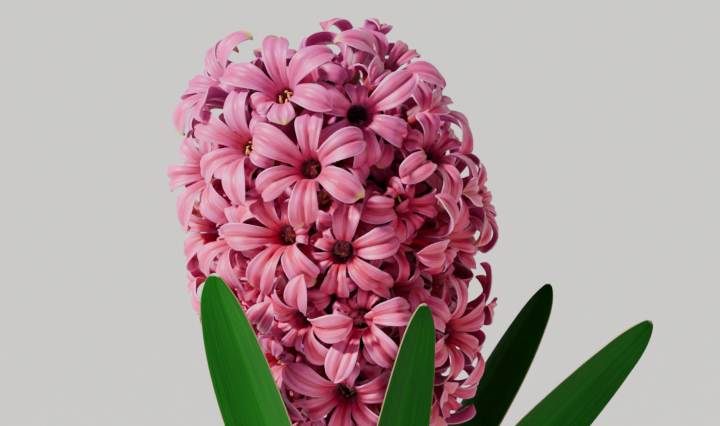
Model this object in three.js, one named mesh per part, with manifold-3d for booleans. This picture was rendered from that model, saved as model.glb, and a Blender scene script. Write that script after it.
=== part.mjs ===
// A potted hyacinth in full flower. A round terracotta pot is filled with compost, and a bulb stands half out
// of it. Five strap leaves and one stout stem rise from the bulb's open neck. The stem carries 51 florets on
// short stalks, and a few closed green buds at its tip. Each floret is a fleshy tube that splits into six
// tepals, which spread and roll back among those of their neighbours.
//
// Millimetres, +Z up. The origin is the middle of the pot's flat underside, and the plant's front faces -Y.
// Azimuths are seen from above, in degrees. The flower head counts them from its front (-Y) towards +X, and
// the leaves count them from +X towards +Y.

import * as THREE from "three";
import { mergeVertices } from "three/addons/utils/BufferGeometryUtils.js";
import Module from "manifold-3d";

const wasm = await Module();
wasm.setup();

// ---------------------------------------------------------------------------------------------------------
// Driving dimensions
// ---------------------------------------------------------------------------------------------------------

const GAP = 0.35; // left free between pieces that rest in or against each other
const SEED = 1861;

const POT = {
  height: 90,
  footRadius: 37,
  shoulderRadius: 50, // the body's outside, just under the rim band
  rimRadius: 55,
  rimHeight: 18,
  rimTaper: 0.6, // the band is this much slimmer at its foot
  insideTopRadius: 48.5,
  insideFootRadius: 32.5,
  floor: 6,
  bevel: 1.2,
  sides: 36,
  drain: { holes: 3, radius: 4, ring: 19, sides: 10 },
};

const SOIL = {
  level: 79,
  mound: 2, // it rises this much from the pot to the bulb
  rings: [0, 0.2, 0.4, 0.6, 0.8, 1], // rings of its top, as shares of the way from the pot to the bulb
  lump: { height: 1.1, acrossX: 20, acrossY: 23 },
};

const BULB = {
  base: 40,
  top: 101,
  neckDepth: 12,
  neckRadius: 12.6,
  sides: 24,
  ridges: 4,
  ridge: 0.4,
  clearance: 0.7, // between its ridged sides and the compost
  // Radius and height of the bulb's outside, from its root plate up to its neck.
  outline: [
    [11, 40], [20.5, 45], [26.5, 54], [28.5, 65], [27.6, 76], [24, 86], [19, 93.5], [15.4, 98], [14.6, 101],
  ],
};

const STEM = { footRadius: 5.2, headRadius: 4.4, tipRadius: 2.3, tipLength: 3, sides: 8, stations: 9 };

// The leaves of the rosette. A tip lies at reach from the stem's foot, in the direction of azimuth.
const LEAVES = [
  { name: "leaf_front_left", seat: -122, azimuth: -126.4, reach: 59.6, height: 222, width: 27, twist: 0 },
  { name: "leaf_front_right", seat: -62, azimuth: -66, reach: 50.4, height: 213.5, width: 17.5, twist: 0 },
  { name: "leaf_right", seat: -1, azimuth: -8, reach: 86.5, height: 202.5, width: 21, twist: -62 },
  { name: "leaf_back_right", seat: 59, azimuth: 34.5, reach: 74, height: 204, width: 23, twist: 0 },
  { name: "leaf_back_left", seat: 146, azimuth: 138, reach: 50, height: 196, width: 21, twist: 0 },
];
const LEAF = {
  seatRadius: 7.9,
  rise: 32, // how high it climbs before it leans out
  tipPull: 0.42, // how far back towards that height the tip's direction is drawn
  thickness: { foot: 1.9, tip: 1.2 },
  cup: 0.3, // how far the edges stand above the middle, as a share of half the width
  channel: 1.7, // 1 is a sharp fold down the middle, 2 is a round channel
  footWidth: 0.34, // as a share of the widest
  widest: 0.55, // where it is widest, as a share of its length
  headingDone: 0.35, // the share of its length in which it turns from its seat to its own azimuth
  twisting: [0.12, 0.75], // the stretch of its length in which it twists
  stations: [0, 0.12, 0.26, 0.4, 0.54, 0.67, 0.79, 0.89, 0.965], // cross-sections, as shares of its length
};

// The flower head, an egg that the floret mouths stand on. Heights in the head are counted from its centre.
const HEAD = {
  centre: 222,
  radius: 36.5,
  halfHeight: 57.5,
  crown: 2.6, // the upper half is a blunter curve than an ellipse, whose exponent is 2
  foot: 2,
  stemShare: 0.6, // a floret that stands h above the centre leaves the stem at this share of h
};
const LEAN = { from: 195, span: 85, shift: -12, power: 1.5 }; // the stem bows to the left above this height

const FLORET = {
  tube: 18,
  baseRadius: 1.3,
  ovary: { radius: 3.3, height: 4 },
  waist: { radius: 2.7, height: 9.5 },
  notchRadius: 4,
  wall: 0.9,
  throatDepth: 6,
};
const TEPAL = {
  length: 18.4,
  innerShare: 0.94, // the inner three tepals are this much shorter and narrower
  width: 7.8,
  thickness: 0.95,
  channel: 1.25, // the edges stand this far above the middle of the inner face
  growth: 1.35,
  open: { start: 30, end: 116 }, // angle from the floret's axis at the root and the tip, held wide open
  rolled: { start: 18, end: 250 }, // the same, rolled back as tightly as it goes
  steps: 24,
  // Steps of the tepal's line that carry a cross-section, with the width there as a share of the widest.
  sections: [[7, 0.84], [13, 1], [20, 0.76]],
  sector: 25, // half the angle about the floret's axis that a tepal keeps within
};
// A tepal in a neighbour's way is first rolled more or less than it would lie, and at last grows shorter.
const FIT = { rollStep: 0.07, rollLimit: 1.05, shorten: 0.92, shortest: 4.5 };
// Balls that stand for a floret's blades and tube while it is fitted in, and the room that each takes.
const BALL = { radius: 0.86, spacing: 1.2, mouth: 6.2 };

// Differences among the tepals of one floret, from least to most. Bearing is in degrees.
const TEPAL_SCATTER = { bearing: 4.6, roll: 0.4, sway: 1.2 };

const FLORETS = 51;
const GOLDEN_ANGLE = 180 * (3 - Math.sqrt(5));

// Florets whose place in the head is known, with the turn of their star in degrees, how far they are rolled
// back, from 0 to 1, and how far they stand out. The first in the list are the first to be fitted in.
const LEADING_FLORETS = [
  { azimuth: -6, height: 26, turn: 30, roll: 0.55, lift: 3 },
  { azimuth: -35, height: 31, turn: 45, roll: 0.55, lift: 2 },
  { azimuth: -16, height: 45, turn: 45, roll: 0.5, lift: 1.5 },
  { azimuth: -21, height: 8, turn: 5, roll: 0.65, lift: 1 },
  { azimuth: -10, height: -12, turn: 10, roll: 0.65, lift: 0.5 },
  { azimuth: -64, height: 47, turn: 20, roll: 0.45, lift: 0.5 },
  { azimuth: 56, height: 51, turn: 15, roll: 0.45, lift: 0 },
  { azimuth: 76, height: 39, turn: 10, roll: 0.5, lift: 1 },
  { azimuth: 24, height: 44, turn: 30, roll: 0.8, lift: -2 },
  { azimuth: 9, height: 4, turn: 20, roll: 0.8, lift: -1 },
  { azimuth: 15, height: -19, turn: 10, roll: 0.8, lift: 0 },
  { azimuth: 0, height: -39, turn: 30, roll: 0.8, lift: 0 },
  { azimuth: 50, height: -22, turn: 25, roll: 0.75, lift: 0.5 },
  { azimuth: 60, height: 27, turn: 20, roll: 0.6, lift: 0.5 },
  { azimuth: 32, height: 20, turn: 0, roll: 0.8, lift: -2 },
  { azimuth: -77, height: 25, turn: 15, roll: 0.5, lift: 0 },
  { azimuth: -48, height: 5, turn: 50, roll: 0.65, lift: 0 },
  { azimuth: -43, height: -12, turn: 40, roll: 0.65, lift: 0 },
  { azimuth: 47, height: 3, turn: 5, roll: 0.7, lift: 0 },
];
// How the other florets may differ: least and most.
const OTHER_FLORETS = { roll: [0.5, 0.95], lift: [-2, 2], turn: [-4, 4] };

// Closed buds at the tip of the stem.
const BUDS = [
  { azimuth: -110, tilt: 6, length: 15 },
  { azimuth: -139, tilt: 34, length: 11 },
  { azimuth: -41, tilt: 30, length: 11 },
  { azimuth: 104, tilt: 26, length: 11 },
];
const BUD = {
  radius: 2.2,
  sides: 6,
  sink: 3,
  rings: [[0.5, 0], [0.95, 0.3], [1, 0.6], [0.6, 0.88]], // shares of its radius and of its length
};

// A floret turns aside at its foot, by at most so many degrees. Its tube's middle line, seen at a few samples,
// keeps this far from its neighbours', or nearer where they are slim. The first few florets face straight out.
const ASIDE = { most: 15, tries: 60, apart: 8.4, slimmer: 2, steady: 4, samples: 6 };
// A tube also bends at this height above its foot, by at most so many degrees. It rather nods than looks up.
const NOD = { height: 11, most: 28, sag: 7 };
// Florets nearer than reach push each other apart. The spiral they start on runs from top to bottom.
const SPREAD = { rounds: 160, reach: 32, step: 0.02, top: 0.93, bottom: -0.89 };
const NEIGHBOUR = 15; // a neighbour further off than this hardly turns a floret's star

// ---------------------------------------------------------------------------------------------------------
// Materials
// ---------------------------------------------------------------------------------------------------------

const terracotta = new THREE.MeshStandardMaterial({ color: 0xb0623f, roughness: 0.85, metalness: 0 });
const compost = new THREE.MeshStandardMaterial({ color: 0x2e2018, roughness: 0.95, metalness: 0 });
const tunic = new THREE.MeshStandardMaterial({ color: 0x8a5a66, roughness: 0.6, metalness: 0 });
const leafGreen = new THREE.MeshStandardMaterial({ color: 0x2c7a24, roughness: 0.4, metalness: 0 });
const stemGreen = new THREE.MeshStandardMaterial({ color: 0x6f8f45, roughness: 0.45, metalness: 0 });
const petalPink = new THREE.MeshStandardMaterial({ color: 0xe0648a, roughness: 0.5, metalness: 0 });

// ---------------------------------------------------------------------------------------------------------
// Small tools
// ---------------------------------------------------------------------------------------------------------

const radians = THREE.MathUtils.degToRad;
const mix = THREE.MathUtils.lerp;

/** Repeatable random numbers from 0 to 1. */
function randomSource(seed) {
  let state = seed;
  return () => {
    state = (state * 48271) % 2147483647;
    return state / 2147483647;
  };
}

/** A closed surface built up from numbered points. Rings run anticlockwise as seen from the far end. */
class Skin {
  points = [];
  faces = [];

  point(x, y, z) {
    this.points.push(x, y, z);
    return this.points.length / 3 - 1;
  }

  ring(vectors) {
    return vectors.map((v) => this.point(v.x, v.y, v.z));
  }

  band(near, far) {
    near.forEach((a, i) => {
      const b = near[(i + 1) % near.length];
      const c = far[(i + 1) % far.length];
      this.faces.push(a, b, c, a, c, far[i]);
    });
  }

  /** Closes the far end of a ring with a fan to one point. */
  tip(ring, point) {
    ring.forEach((a, i) => this.faces.push(a, ring[(i + 1) % ring.length], point));
  }

  /** Closes the near end of a ring with a fan to one point. */
  root(ring, point) {
    this.tip([...ring].reverse(), point);
  }

  geometry() {
    const geometry = new THREE.BufferGeometry();
    geometry.setAttribute("position", new THREE.Float32BufferAttribute(this.points, 3));
    geometry.setIndex(this.faces);
    return geometry;
  }
}

/** A circle of points about Z. */
function circle(radius, z, count, first) {
  return Array.from({ length: count }, (_, i) => {
    const angle = first + (i * 2 * Math.PI) / count;
    return new THREE.Vector3(radius * Math.cos(angle), radius * Math.sin(angle), z);
  });
}

/** A named mesh of the plant. */
function piece(name, geometry, material) {
  geometry.computeVertexNormals();
  const mesh = new THREE.Mesh(geometry, material);
  mesh.name = name;
  return mesh;
}

/** A closed solid of revolution about Z from [radius, height] pairs. If given, shape moves each point. */
function turned(outline, sides, shape = null) {
  const geometry = new THREE.LatheGeometry(outline.map(([r, z]) => new THREE.Vector2(r, z)), sides);
  geometry.rotateX(Math.PI / 2); // the lathe's own axis is Y
  if (shape) {
    const position = geometry.attributes.position;
    const p = new THREE.Vector3();
    for (let i = 0; i < position.count; i++) {
      shape(p.fromBufferAttribute(position, i));
      position.setXYZ(i, p.x, p.y, p.z);
    }
  }
  return geometry;
}

/** A closed geometry as a solid that can be joined and cut. */
function solidOf(geometry) {
  const bare = new THREE.BufferGeometry();
  bare.setAttribute("position", geometry.attributes.position.clone());
  if (geometry.index) bare.setIndex(geometry.index.clone());
  const merged = mergeVertices(bare, 1e-3);
  return new wasm.Manifold(
    new wasm.Mesh({
      numProp: 3,
      vertProperties: merged.attributes.position.array,
      triVerts: new Uint32Array(merged.index.array),
    }),
  );
}

/** A joined or cut solid as a geometry. */
function geometryOf(solid) {
  const mesh = solid.getMesh();
  const geometry = new THREE.BufferGeometry();
  geometry.setAttribute("position", new THREE.Float32BufferAttribute(mesh.vertProperties, 3));
  geometry.setIndex(Array.from(mesh.triVerts));
  return geometry;
}

// ---------------------------------------------------------------------------------------------------------
// Pot, compost and bulb
// ---------------------------------------------------------------------------------------------------------

/** The pot's inside radius at a height. */
function potInside(z) {
  const share = (z - POT.floor) / (POT.height - POT.floor);
  return mix(POT.insideFootRadius, POT.insideTopRadius, share);
}

/** A pot with a rim band, open at the top, with drain holes round the middle of its floor. */
function makePot() {
  const { height, footRadius, shoulderRadius, rimRadius, rimHeight, rimTaper, bevel, floor, drain } = POT;
  const bandFoot = height - rimHeight;
  const body = turned(
    [
      [0, 0],
      [footRadius - bevel, 0],
      [footRadius, bevel],
      [shoulderRadius, bandFoot],
      [rimRadius - bevel - rimTaper, bandFoot],
      [rimRadius - rimTaper, bandFoot + bevel],
      [rimRadius, height - bevel],
      [rimRadius - bevel, height],
      [potInside(height) + bevel, height],
      [potInside(height - bevel), height - bevel],
      [potInside(floor), floor],
      [0, floor],
    ],
    POT.sides,
  );
  let pot = solidOf(body);
  for (const centre of circle(drain.ring, floor / 2, drain.holes, 0)) {
    const drill = new THREE.CylinderGeometry(drain.radius, drain.radius, 3 * floor, drain.sides);
    drill.rotateX(Math.PI / 2);
    drill.translate(centre.x, centre.y, centre.z);
    pot = pot.subtract(solidOf(drill));
  }
  return piece("pot", geometryOf(pot), terracotta);
}

/** The bulb's outside radius at a height. */
function bulbRadius(z) {
  const { outline } = BULB;
  const upper = outline.findIndex(([, height]) => height >= z);
  if (upper <= 0) return outline[0][0];
  const [r0, z0] = outline[upper - 1];
  const [r1, z1] = outline[upper];
  return mix(r0, r1, (z - z0) / (z1 - z0));
}

/** Compost with a gently lumpy top and a hole that the bulb stands in. */
function makeSoil() {
  const { level, mound, rings, lump } = SOIL;
  const crater = level + mound;
  const inner = bulbRadius(crater) + BULB.clearance;
  const outer = potInside(level) - GAP;
  const top = rings.map((share) => [mix(outer, inner, share), level + mound * share]);
  const buried = BULB.outline.filter(([, z]) => z < level).map(([r, z]) => [r + BULB.clearance, z]);
  const profile = [
    [0, POT.floor + GAP],
    [potInside(POT.floor) - 2 * GAP, POT.floor + GAP],
    ...top,
    ...buried.reverse(),
    [BULB.outline[0][0] + BULB.clearance, BULB.base - GAP],
    [0, BULB.base - GAP],
  ];
  const lumpy = (p) => {
    const radius = Math.hypot(p.x, p.y);
    if (p.z < level || radius < inner + 1 || radius > outer - 1) return;
    const waveX = Math.sin((2 * Math.PI * p.x) / lump.acrossX);
    const waveY = Math.cos((2 * Math.PI * p.y) / lump.acrossY);
    p.z += lump.height * waveX * waveY;
  };
  return piece("soil", turned(profile, POT.sides, lumpy), compost);
}

/** The bulb, hollow at its neck, with low ridges down the part of it that shows. */
function makeBulb() {
  const { base, top, neckDepth, neckRadius, sides, ridges, ridge, outline } = BULB;
  const ridged = (p) => {
    const radius = Math.hypot(p.x, p.y);
    if (p.z < SOIL.level || radius < neckRadius + 1) return;
    const swell = 1 + (ridge / radius) * Math.sin(ridges * Math.atan2(p.y, p.x));
    p.x *= swell;
    p.y *= swell;
  };
  const profile = [
    [0, base],
    ...outline,
    [neckRadius, top],
    [neckRadius, top - neckDepth],
    [0, top - neckDepth],
  ];
  return piece("bulb", turned(profile, sides, ridged), tunic);
}

// ---------------------------------------------------------------------------------------------------------
// Leaves
// ---------------------------------------------------------------------------------------------------------

/** How wide a leaf is at a share of its length, as a share of its widest. */
function leafSpread(share) {
  const { footWidth, widest } = LEAF;
  if (share < widest) return mix(footWidth, 1, THREE.MathUtils.smoothstep(share, 0, widest));
  return Math.sqrt(1 - ((share - widest) / (1 - widest)) ** 2);
}

/** A channelled strap leaf with a blunt tip. It climbs out of the neck, then leans out and may twist. */
function makeLeaf({ name, seat, azimuth, reach, height, width, twist }) {
  const seatAngle = radians(seat);
  const tipAngle = radians(azimuth);
  const level = (angle) => new THREE.Vector3(Math.cos(angle), Math.sin(angle), 0);
  const start = level(seatAngle).multiplyScalar(LEAF.seatRadius).setZ(BULB.top - BULB.neckDepth + GAP);
  const end = level(tipAngle).multiplyScalar(reach).setZ(height);
  const risen = start.clone().setZ(start.z + LEAF.rise);
  const line = new THREE.CubicBezierCurve3(start, risen, end.clone().lerp(risen, LEAF.tipPull), end);

  const skin = new Skin();
  let ring = null;
  for (const share of LEAF.stations) {
    const middle = line.getPoint(share);
    const along = line.getTangent(share);
    const outward = level(mix(seatAngle, tipAngle, Math.min(1, share / LEAF.headingDone)));
    const turn = radians(twist) * THREE.MathUtils.smoothstep(share, ...LEAF.twisting);
    const across = new THREE.Vector3().crossVectors(along, outward).normalize().applyAxisAngle(along, turn);
    const inward = new THREE.Vector3().crossVectors(across, along).normalize();
    const half = (width / 2) * leafSpread(share);
    const thick = mix(LEAF.thickness.foot, LEAF.thickness.tip, share);
    const place = (side, face) =>
      middle
        .clone()
        .addScaledVector(across, side * half)
        .addScaledVector(inward, LEAF.cup * half * Math.abs(side) ** LEAF.channel + (face * thick) / 2);
    const underside = [place(0.5, -1), place(0, -1), place(-0.5, -1), place(-1, 0)];
    const upperside = [place(-0.5, 1), place(0, 1), place(0.5, 1), place(1, 0)];
    const next = skin.ring([...underside, ...upperside]);
    if (ring) skin.band(ring, next);
    else skin.root(next, skin.point(...middle.toArray()));
    ring = next;
  }
  skin.tip(ring, skin.point(...end.toArray()));
  return piece(name, skin.geometry(), leafGreen);
}

// ---------------------------------------------------------------------------------------------------------
// Places in the flower head
// ---------------------------------------------------------------------------------------------------------

/** How far the stem stands to the side of its foot at a height. */
function stemShift(z) {
  return z > LEAN.from ? LEAN.shift * ((z - LEAN.from) / LEAN.span) ** LEAN.power : 0;
}

/** The point of the upright egg at an azimuth from the front and a height above its centre. */
function eggPoint(azimuth, height) {
  const power = height > 0 ? HEAD.crown : HEAD.foot;
  const share = Math.min(1, Math.abs(height) / HEAD.halfHeight);
  const radius = HEAD.radius * (1 - share ** power) ** (1 / power);
  const angle = radians(azimuth);
  return new THREE.Vector3(radius * Math.sin(angle), -radius * Math.cos(angle), height);
}

/** Pulls a point on to the egg, straight from its centre. */
function ontoEgg(p) {
  const power = p.z > 0 ? HEAD.crown : HEAD.foot;
  const size = (Math.hypot(p.x, p.y) / HEAD.radius) ** power + (Math.abs(p.z) / HEAD.halfHeight) ** power;
  return p.multiplyScalar(size ** (-1 / power));
}

/**
 * The places of all florets on the egg. The leading ones are fixed. The others start on a golden-angle
 * spiral, as a plant sets them, and are then pushed apart until they fill what is left evenly. The buds take
 * the egg's highest point, and the stem its lowest.
 */
function floretPlaces() {
  const fixed = LEADING_FLORETS.map(({ azimuth, height }) => eggPoint(azimuth, height));
  const poles = [HEAD.halfHeight, -HEAD.halfHeight].map((height) => new THREE.Vector3(0, 0, height));
  const spiral = [];
  for (let i = 0; i < FLORETS; i++) {
    const share = mix(SPREAD.top, SPREAD.bottom, i / (FLORETS - 1));
    spiral.push(eggPoint(i * GOLDEN_ANGLE, HEAD.halfHeight * share));
  }
  for (const place of fixed) {
    const nearest = spiral.reduce((a, b) => (b.distanceTo(place) < a.distanceTo(place) ? b : a));
    spiral.splice(spiral.indexOf(nearest), 1);
  }
  for (let round = 0; round < SPREAD.rounds; round++) {
    const all = [...fixed, ...poles, ...spiral];
    const pushes = spiral.map((place) => {
      const push = new THREE.Vector3();
      for (const other of all) {
        const apart = place.clone().sub(other);
        const distance = apart.length();
        if (distance > 0 && distance < SPREAD.reach) {
          push.addScaledVector(apart, (SPREAD.step * (SPREAD.reach - distance) ** 2) / (distance * distance));
        }
      }
      return push;
    });
    spiral.forEach((place, i) => ontoEgg(place.add(pushes[i])));
  }
  return [...fixed, ...spiral];
}

/** Axes of a frame that faces a direction: across it level, and up it. */
function frameFacing(facing) {
  const across = new THREE.Vector3(0, 0, 1).cross(facing).normalize();
  const upward = new THREE.Vector3().crossVectors(facing, across);
  return new THREE.Matrix4().makeBasis(across, upward, facing);
}

/** Where a floret stands: its foot and mouth, the way it faces, its root on the stem and its tube's bend. */
function stance(place, lift) {
  const rootHeight = HEAD.centre + HEAD.stemShare * place.z;
  const root = new THREE.Vector3(stemShift(rootHeight), 0, rootHeight);
  const mouth = new THREE.Vector3(place.x + stemShift(HEAD.centre + place.z), place.y, HEAD.centre + place.z);
  const facing = mouth.clone().sub(root).normalize();
  mouth.addScaledVector(facing, lift);
  const foot = mouth.clone().addScaledVector(facing, -FLORET.tube);
  return { root, foot, mouth, facing, frame: frameFacing(facing).setPosition(foot), bend: new THREE.Matrix4() };
}

/** A turn in the plane of X and Y, in degrees about each of them, within a circle. */
function drawnTurn(most, random) {
  const angle = most * Math.sqrt(random());
  const bearing = 2 * Math.PI * random();
  return new THREE.Vector2(angle * Math.cos(bearing), angle * Math.sin(bearing));
}

/** A stance whose tube turns aside at its foot and bends below its mouth, each by degrees about X and Y. */
function turnedAside(stand, aside, nod) {
  const axisOf = (turn) => new THREE.Vector3(turn.x, turn.y, 0).normalize();
  const facing = stand.facing
    .clone()
    .applyAxisAngle(axisOf(aside).transformDirection(stand.frame), radians(aside.length()));
  const frame = frameFacing(facing).setPosition(stand.foot);
  const bend = new THREE.Matrix4()
    .makeTranslation(0, 0, NOD.height)
    .multiply(new THREE.Matrix4().makeRotationAxis(axisOf(nod), radians(nod.length())))
    .multiply(new THREE.Matrix4().makeTranslation(0, 0, -NOD.height));
  const mouth = new THREE.Vector3(0, 0, FLORET.tube).applyMatrix4(bend).applyMatrix4(frame);
  return { ...stand, facing, mouth, frame, bend };
}

/** The point at which a floret's tube bends. */
function elbowOf(floret) {
  return new THREE.Vector3(0, 0, NOD.height).applyMatrix4(floret.frame);
}

/** How near the middle lines of two florets' tubes come. Towards its foot a tube counts as slimmer. */
function tubesApart(a, b) {
  const line = ({ foot, mouth }, elbow) =>
    Array.from({ length: ASIDE.samples + 1 }, (_, i) => {
      const height = (FLORET.tube * i) / ASIDE.samples;
      if (height < NOD.height) return foot.clone().lerp(elbow, height / NOD.height);
      return elbow.clone().lerp(mouth, (height - NOD.height) / (FLORET.tube - NOD.height));
    });
  const lineB = line(b, elbowOf(b));
  let nearest = Infinity;
  line(a, elbowOf(a)).forEach((p, i) => {
    lineB.forEach((q, k) => {
      const slim = 1 - Math.min(i, k) / ASIDE.samples;
      nearest = Math.min(nearest, p.distanceTo(q) + ASIDE.slimmer * slim);
    });
  });
  return nearest;
}

/** Turns and bends each floret aside as far as chance and its neighbours have it. */
function turnAside(florets, random) {
  for (const floret of florets.slice(ASIDE.steady)) {
    for (let round = 0; round < ASIDE.tries; round++) {
      const nod = drawnTurn(NOD.most, random);
      nod.x += NOD.sag;
      const turned = turnedAside(floret, drawnTurn(ASIDE.most, random), nod);
      if (florets.some((other) => other !== floret && tubesApart(turned, other) < ASIDE.apart)) continue;
      Object.assign(floret, turned);
      break;
    }
  }
}

/** The turn that points six tepals between the neighbours rather than at them, in degrees. */
function restingTurn(floret, others) {
  const outOfFrame = floret.frame.clone().multiply(floret.bend).invert();
  let x = 0;
  let y = 0;
  for (const other of others) {
    const apart = other.mouth.clone().applyMatrix4(outOfFrame);
    const bearing = Math.atan2(apart.y, apart.x);
    const weight = Math.exp(-((other.mouth.distanceTo(floret.mouth) / NEIGHBOUR) ** 2));
    x += weight * Math.cos(6 * bearing);
    y += weight * Math.sin(6 * bearing);
  }
  return THREE.MathUtils.radToDeg(Math.atan2(y, x) / 6) + 30;
}

/** All florets, where they stand and how they wish to open. */
function standFlorets(random) {
  const draw = ([least, most]) => mix(least, most, random());
  const florets = floretPlaces().map((place, i) => {
    const { roll, lift, turn } = LEADING_FLORETS[i] ?? {
      roll: draw(OTHER_FLORETS.roll),
      lift: draw(OTHER_FLORETS.lift),
    };
    return { ...stance(place, lift), roll, turn };
  });
  turnAside(florets, random);
  for (const floret of florets) {
    const others = florets.filter((other) => other !== floret);
    floret.turn ??= restingTurn(floret, others) + draw(OTHER_FLORETS.turn);
  }
  return florets;
}

/** Balls that fill the room which is already taken, sorted by the cell of a grid that they lie in. */
class Crowd {
  cell = 8;
  cells = new Map();

  key(p, dx, dy, dz) {
    const index = (value, step) => Math.floor(value / this.cell) + step;
    return `${index(p.x, dx)} ${index(p.y, dy)} ${index(p.z, dz)}`;
  }

  add(centre, radius, owner) {
    const key = this.key(centre, 0, 0, 0);
    if (!this.cells.has(key)) this.cells.set(key, []);
    this.cells.get(key).push({ centre, radius, owner });
  }

  /** Balls from a to b along a line. */
  addLine(a, b, radius, owner) {
    const count = Math.ceil(a.distanceTo(b) / BALL.spacing);
    for (let i = 0; i <= count; i++) this.add(a.clone().lerp(b, i / count), radius, owner);
  }

  /** Whether a ball is clear of all balls but its owner's. */
  isFree(centre, radius, owner) {
    for (let dx = -1; dx <= 1; dx++) {
      for (let dy = -1; dy <= 1; dy++) {
        for (let dz = -1; dz <= 1; dz++) {
          for (const ball of this.cells.get(this.key(centre, dx, dy, dz)) ?? []) {
            if (ball.owner !== owner && ball.centre.distanceTo(centre) < ball.radius + radius) return false;
          }
        }
      }
    }
    return true;
  }
}

// ---------------------------------------------------------------------------------------------------------
// Florets. Their own frame has the foot of the tube at the origin and +Z out of the mouth.
// ---------------------------------------------------------------------------------------------------------

/**
 * A tepal's cross-sections and tip. Its line starts at the mouth's edge and bends away from the floret's
 * axis, by more the further it is rolled. A section runs from one edge over the middle of the inner face to
 * the other edge, and back under the middle of the outer face.
 */
function tepalShape({ bearing, roll, length, width, sway }) {
  const start = radians(mix(TEPAL.open.start, TEPAL.rolled.start, roll));
  const end = radians(mix(TEPAL.open.end, TEPAL.rolled.end, roll));
  const radial = new THREE.Vector3(Math.cos(bearing), Math.sin(bearing), 0);
  const side = new THREE.Vector3(-Math.sin(bearing), Math.cos(bearing), 0);
  const middle = radial.clone().multiplyScalar(FLORET.notchRadius - FLORET.wall / 2).setZ(FLORET.tube);
  const widths = new Map(TEPAL.sections);
  const sections = [];
  for (let step = 1; step <= TEPAL.steps; step++) {
    const angle = mix(start, end, ((step - 0.5) / TEPAL.steps) ** TEPAL.growth);
    middle.addScaledVector(radial, (Math.sin(angle) * length) / TEPAL.steps);
    middle.z += (Math.cos(angle) * length) / TEPAL.steps;
    middle.addScaledVector(side, (sway * (2 * step - 1)) / TEPAL.steps ** 2);
    if (!widths.has(step)) continue;
    const inner = radial.clone().multiplyScalar(-Math.cos(angle)).setZ(Math.sin(angle));
    const sector = Math.hypot(middle.x, middle.y) * Math.tan(radians(TEPAL.sector));
    const half = Math.min((width / 2) * widths.get(step), sector);
    const depth = TEPAL.channel * widths.get(step);
    sections.push([
      middle.clone().addScaledVector(side, half).addScaledVector(inner, depth),
      middle.clone().addScaledVector(inner, TEPAL.thickness / 2),
      middle.clone().addScaledVector(side, -half).addScaledVector(inner, depth),
      middle.clone().addScaledVector(inner, -TEPAL.thickness / 2),
    ]);
  }
  return { sections, tip: middle.clone() };
}

/** The centres of balls that cover a tepal, in the plant's frame. */
function tepalBalls({ sections, tip }, frame) {
  const lines = sections.map(([right, inner, left, outer]) => {
    const centre = inner.clone().lerp(outer, 0.5);
    return [right, right.clone().lerp(centre, 0.5), centre, centre.clone().lerp(left, 0.5), left];
  });
  lines.push([tip, tip, tip, tip, tip]);
  const balls = [...lines[0]];
  lines.slice(1).forEach((line, i) => {
    const count = Math.ceil(line[2].distanceTo(lines[i][2]) / BALL.spacing);
    for (let step = 1; step <= count; step++) {
      line.forEach((point, k) => balls.push(lines[i][k].clone().lerp(point, step / count)));
    }
  });
  return balls.map((point) => point.clone().applyMatrix4(frame));
}

/** Fits a tepal in among what is there. It lies as near to its wish as it can. */
function fittedTepal(wish, floret, crowd) {
  const crown = floret.frame.clone().multiply(floret.bend);
  for (let length = wish.length; length > FIT.shortest; length *= FIT.shorten) {
    for (let away = 0; away <= FIT.rollLimit; away += FIT.rollStep) {
      for (const roll of [wish.roll + away, wish.roll - away]) {
        if (roll < 0 || roll > FIT.rollLimit) continue;
        const shape = tepalShape({ ...wish, roll, length });
        const balls = tepalBalls(shape, crown);
        if (!balls.every((ball) => crowd.isFree(ball, BALL.radius, floret))) continue;
        for (const ball of balls) crowd.add(ball, BALL.radius, floret);
        return shape;
      }
    }
  }
  return tepalShape({ ...wish, roll: FIT.rollLimit, length: FIT.shortest });
}

/** A tube that swells over the ovary and splits at its mouth into six tepals, in one closed surface. */
function floretGeometry(floret, crowd, random) {
  const { tube, ovary, waist, notchRadius, wall, baseRadius, throatDepth } = FLORET;
  const turn = radians(floret.turn);
  const skin = new Skin();
  const foot = skin.ring(circle(baseRadius, 0, 6, turn));
  const swell = skin.ring(circle(ovary.radius, ovary.height, 6, turn));
  const neck = skin.ring(circle(waist.radius, waist.height, 6, turn));
  skin.root(foot, skin.point(0, 0, 0));
  skin.band(foot, swell);
  skin.band(swell, neck);

  // The mouth has a keel and a lip for each tepal, and a notch that the tepals on both sides of it share.
  const bent = (points) => skin.ring(points.map((point) => point.applyMatrix4(floret.bend)));
  const keels = bent(circle(notchRadius + 0.1, tube, 6, turn));
  const lips = bent(circle(notchRadius - wall, tube, 6, turn));
  const notches = bent(circle(notchRadius, tube + 0.4, 6, turn + Math.PI / 6));
  const [throat] = bent([new THREE.Vector3(0, 0, tube - throatDepth)]);
  for (let i = 0; i < 6; i++) {
    const next = (i + 1) % 6;
    skin.faces.push(neck[i], notches[i], keels[i]);
    skin.faces.push(neck[i], neck[next], notches[i]);
    skin.faces.push(neck[next], keels[next], notches[i]);
    skin.faces.push(lips[i], notches[i], throat);
    skin.faces.push(notches[i], lips[next], throat);
  }
  for (let i = 0; i < 6; i++) {
    const share = i % 2 === 0 ? 1 : TEPAL.innerShare;
    const scatter = (span) => span * (random() - 0.5);
    const wish = {
      bearing: turn + (i * Math.PI) / 3 + radians(scatter(TEPAL_SCATTER.bearing)),
      roll: THREE.MathUtils.clamp(floret.roll + scatter(TEPAL_SCATTER.roll), 0, FIT.rollLimit),
      length: TEPAL.length * share,
      width: TEPAL.width * share,
      sway: scatter(TEPAL_SCATTER.sway),
    };
    const shape = fittedTepal(wish, floret, crowd);
    let ring = [notches[i], lips[i], notches[(i + 5) % 6], keels[i]];
    for (const section of shape.sections) {
      const next = bent(section);
      skin.band(ring, next);
      ring = next;
    }
    skin.tip(ring, ...bent([shape.tip]));
  }
  return skin.geometry();
}

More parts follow.
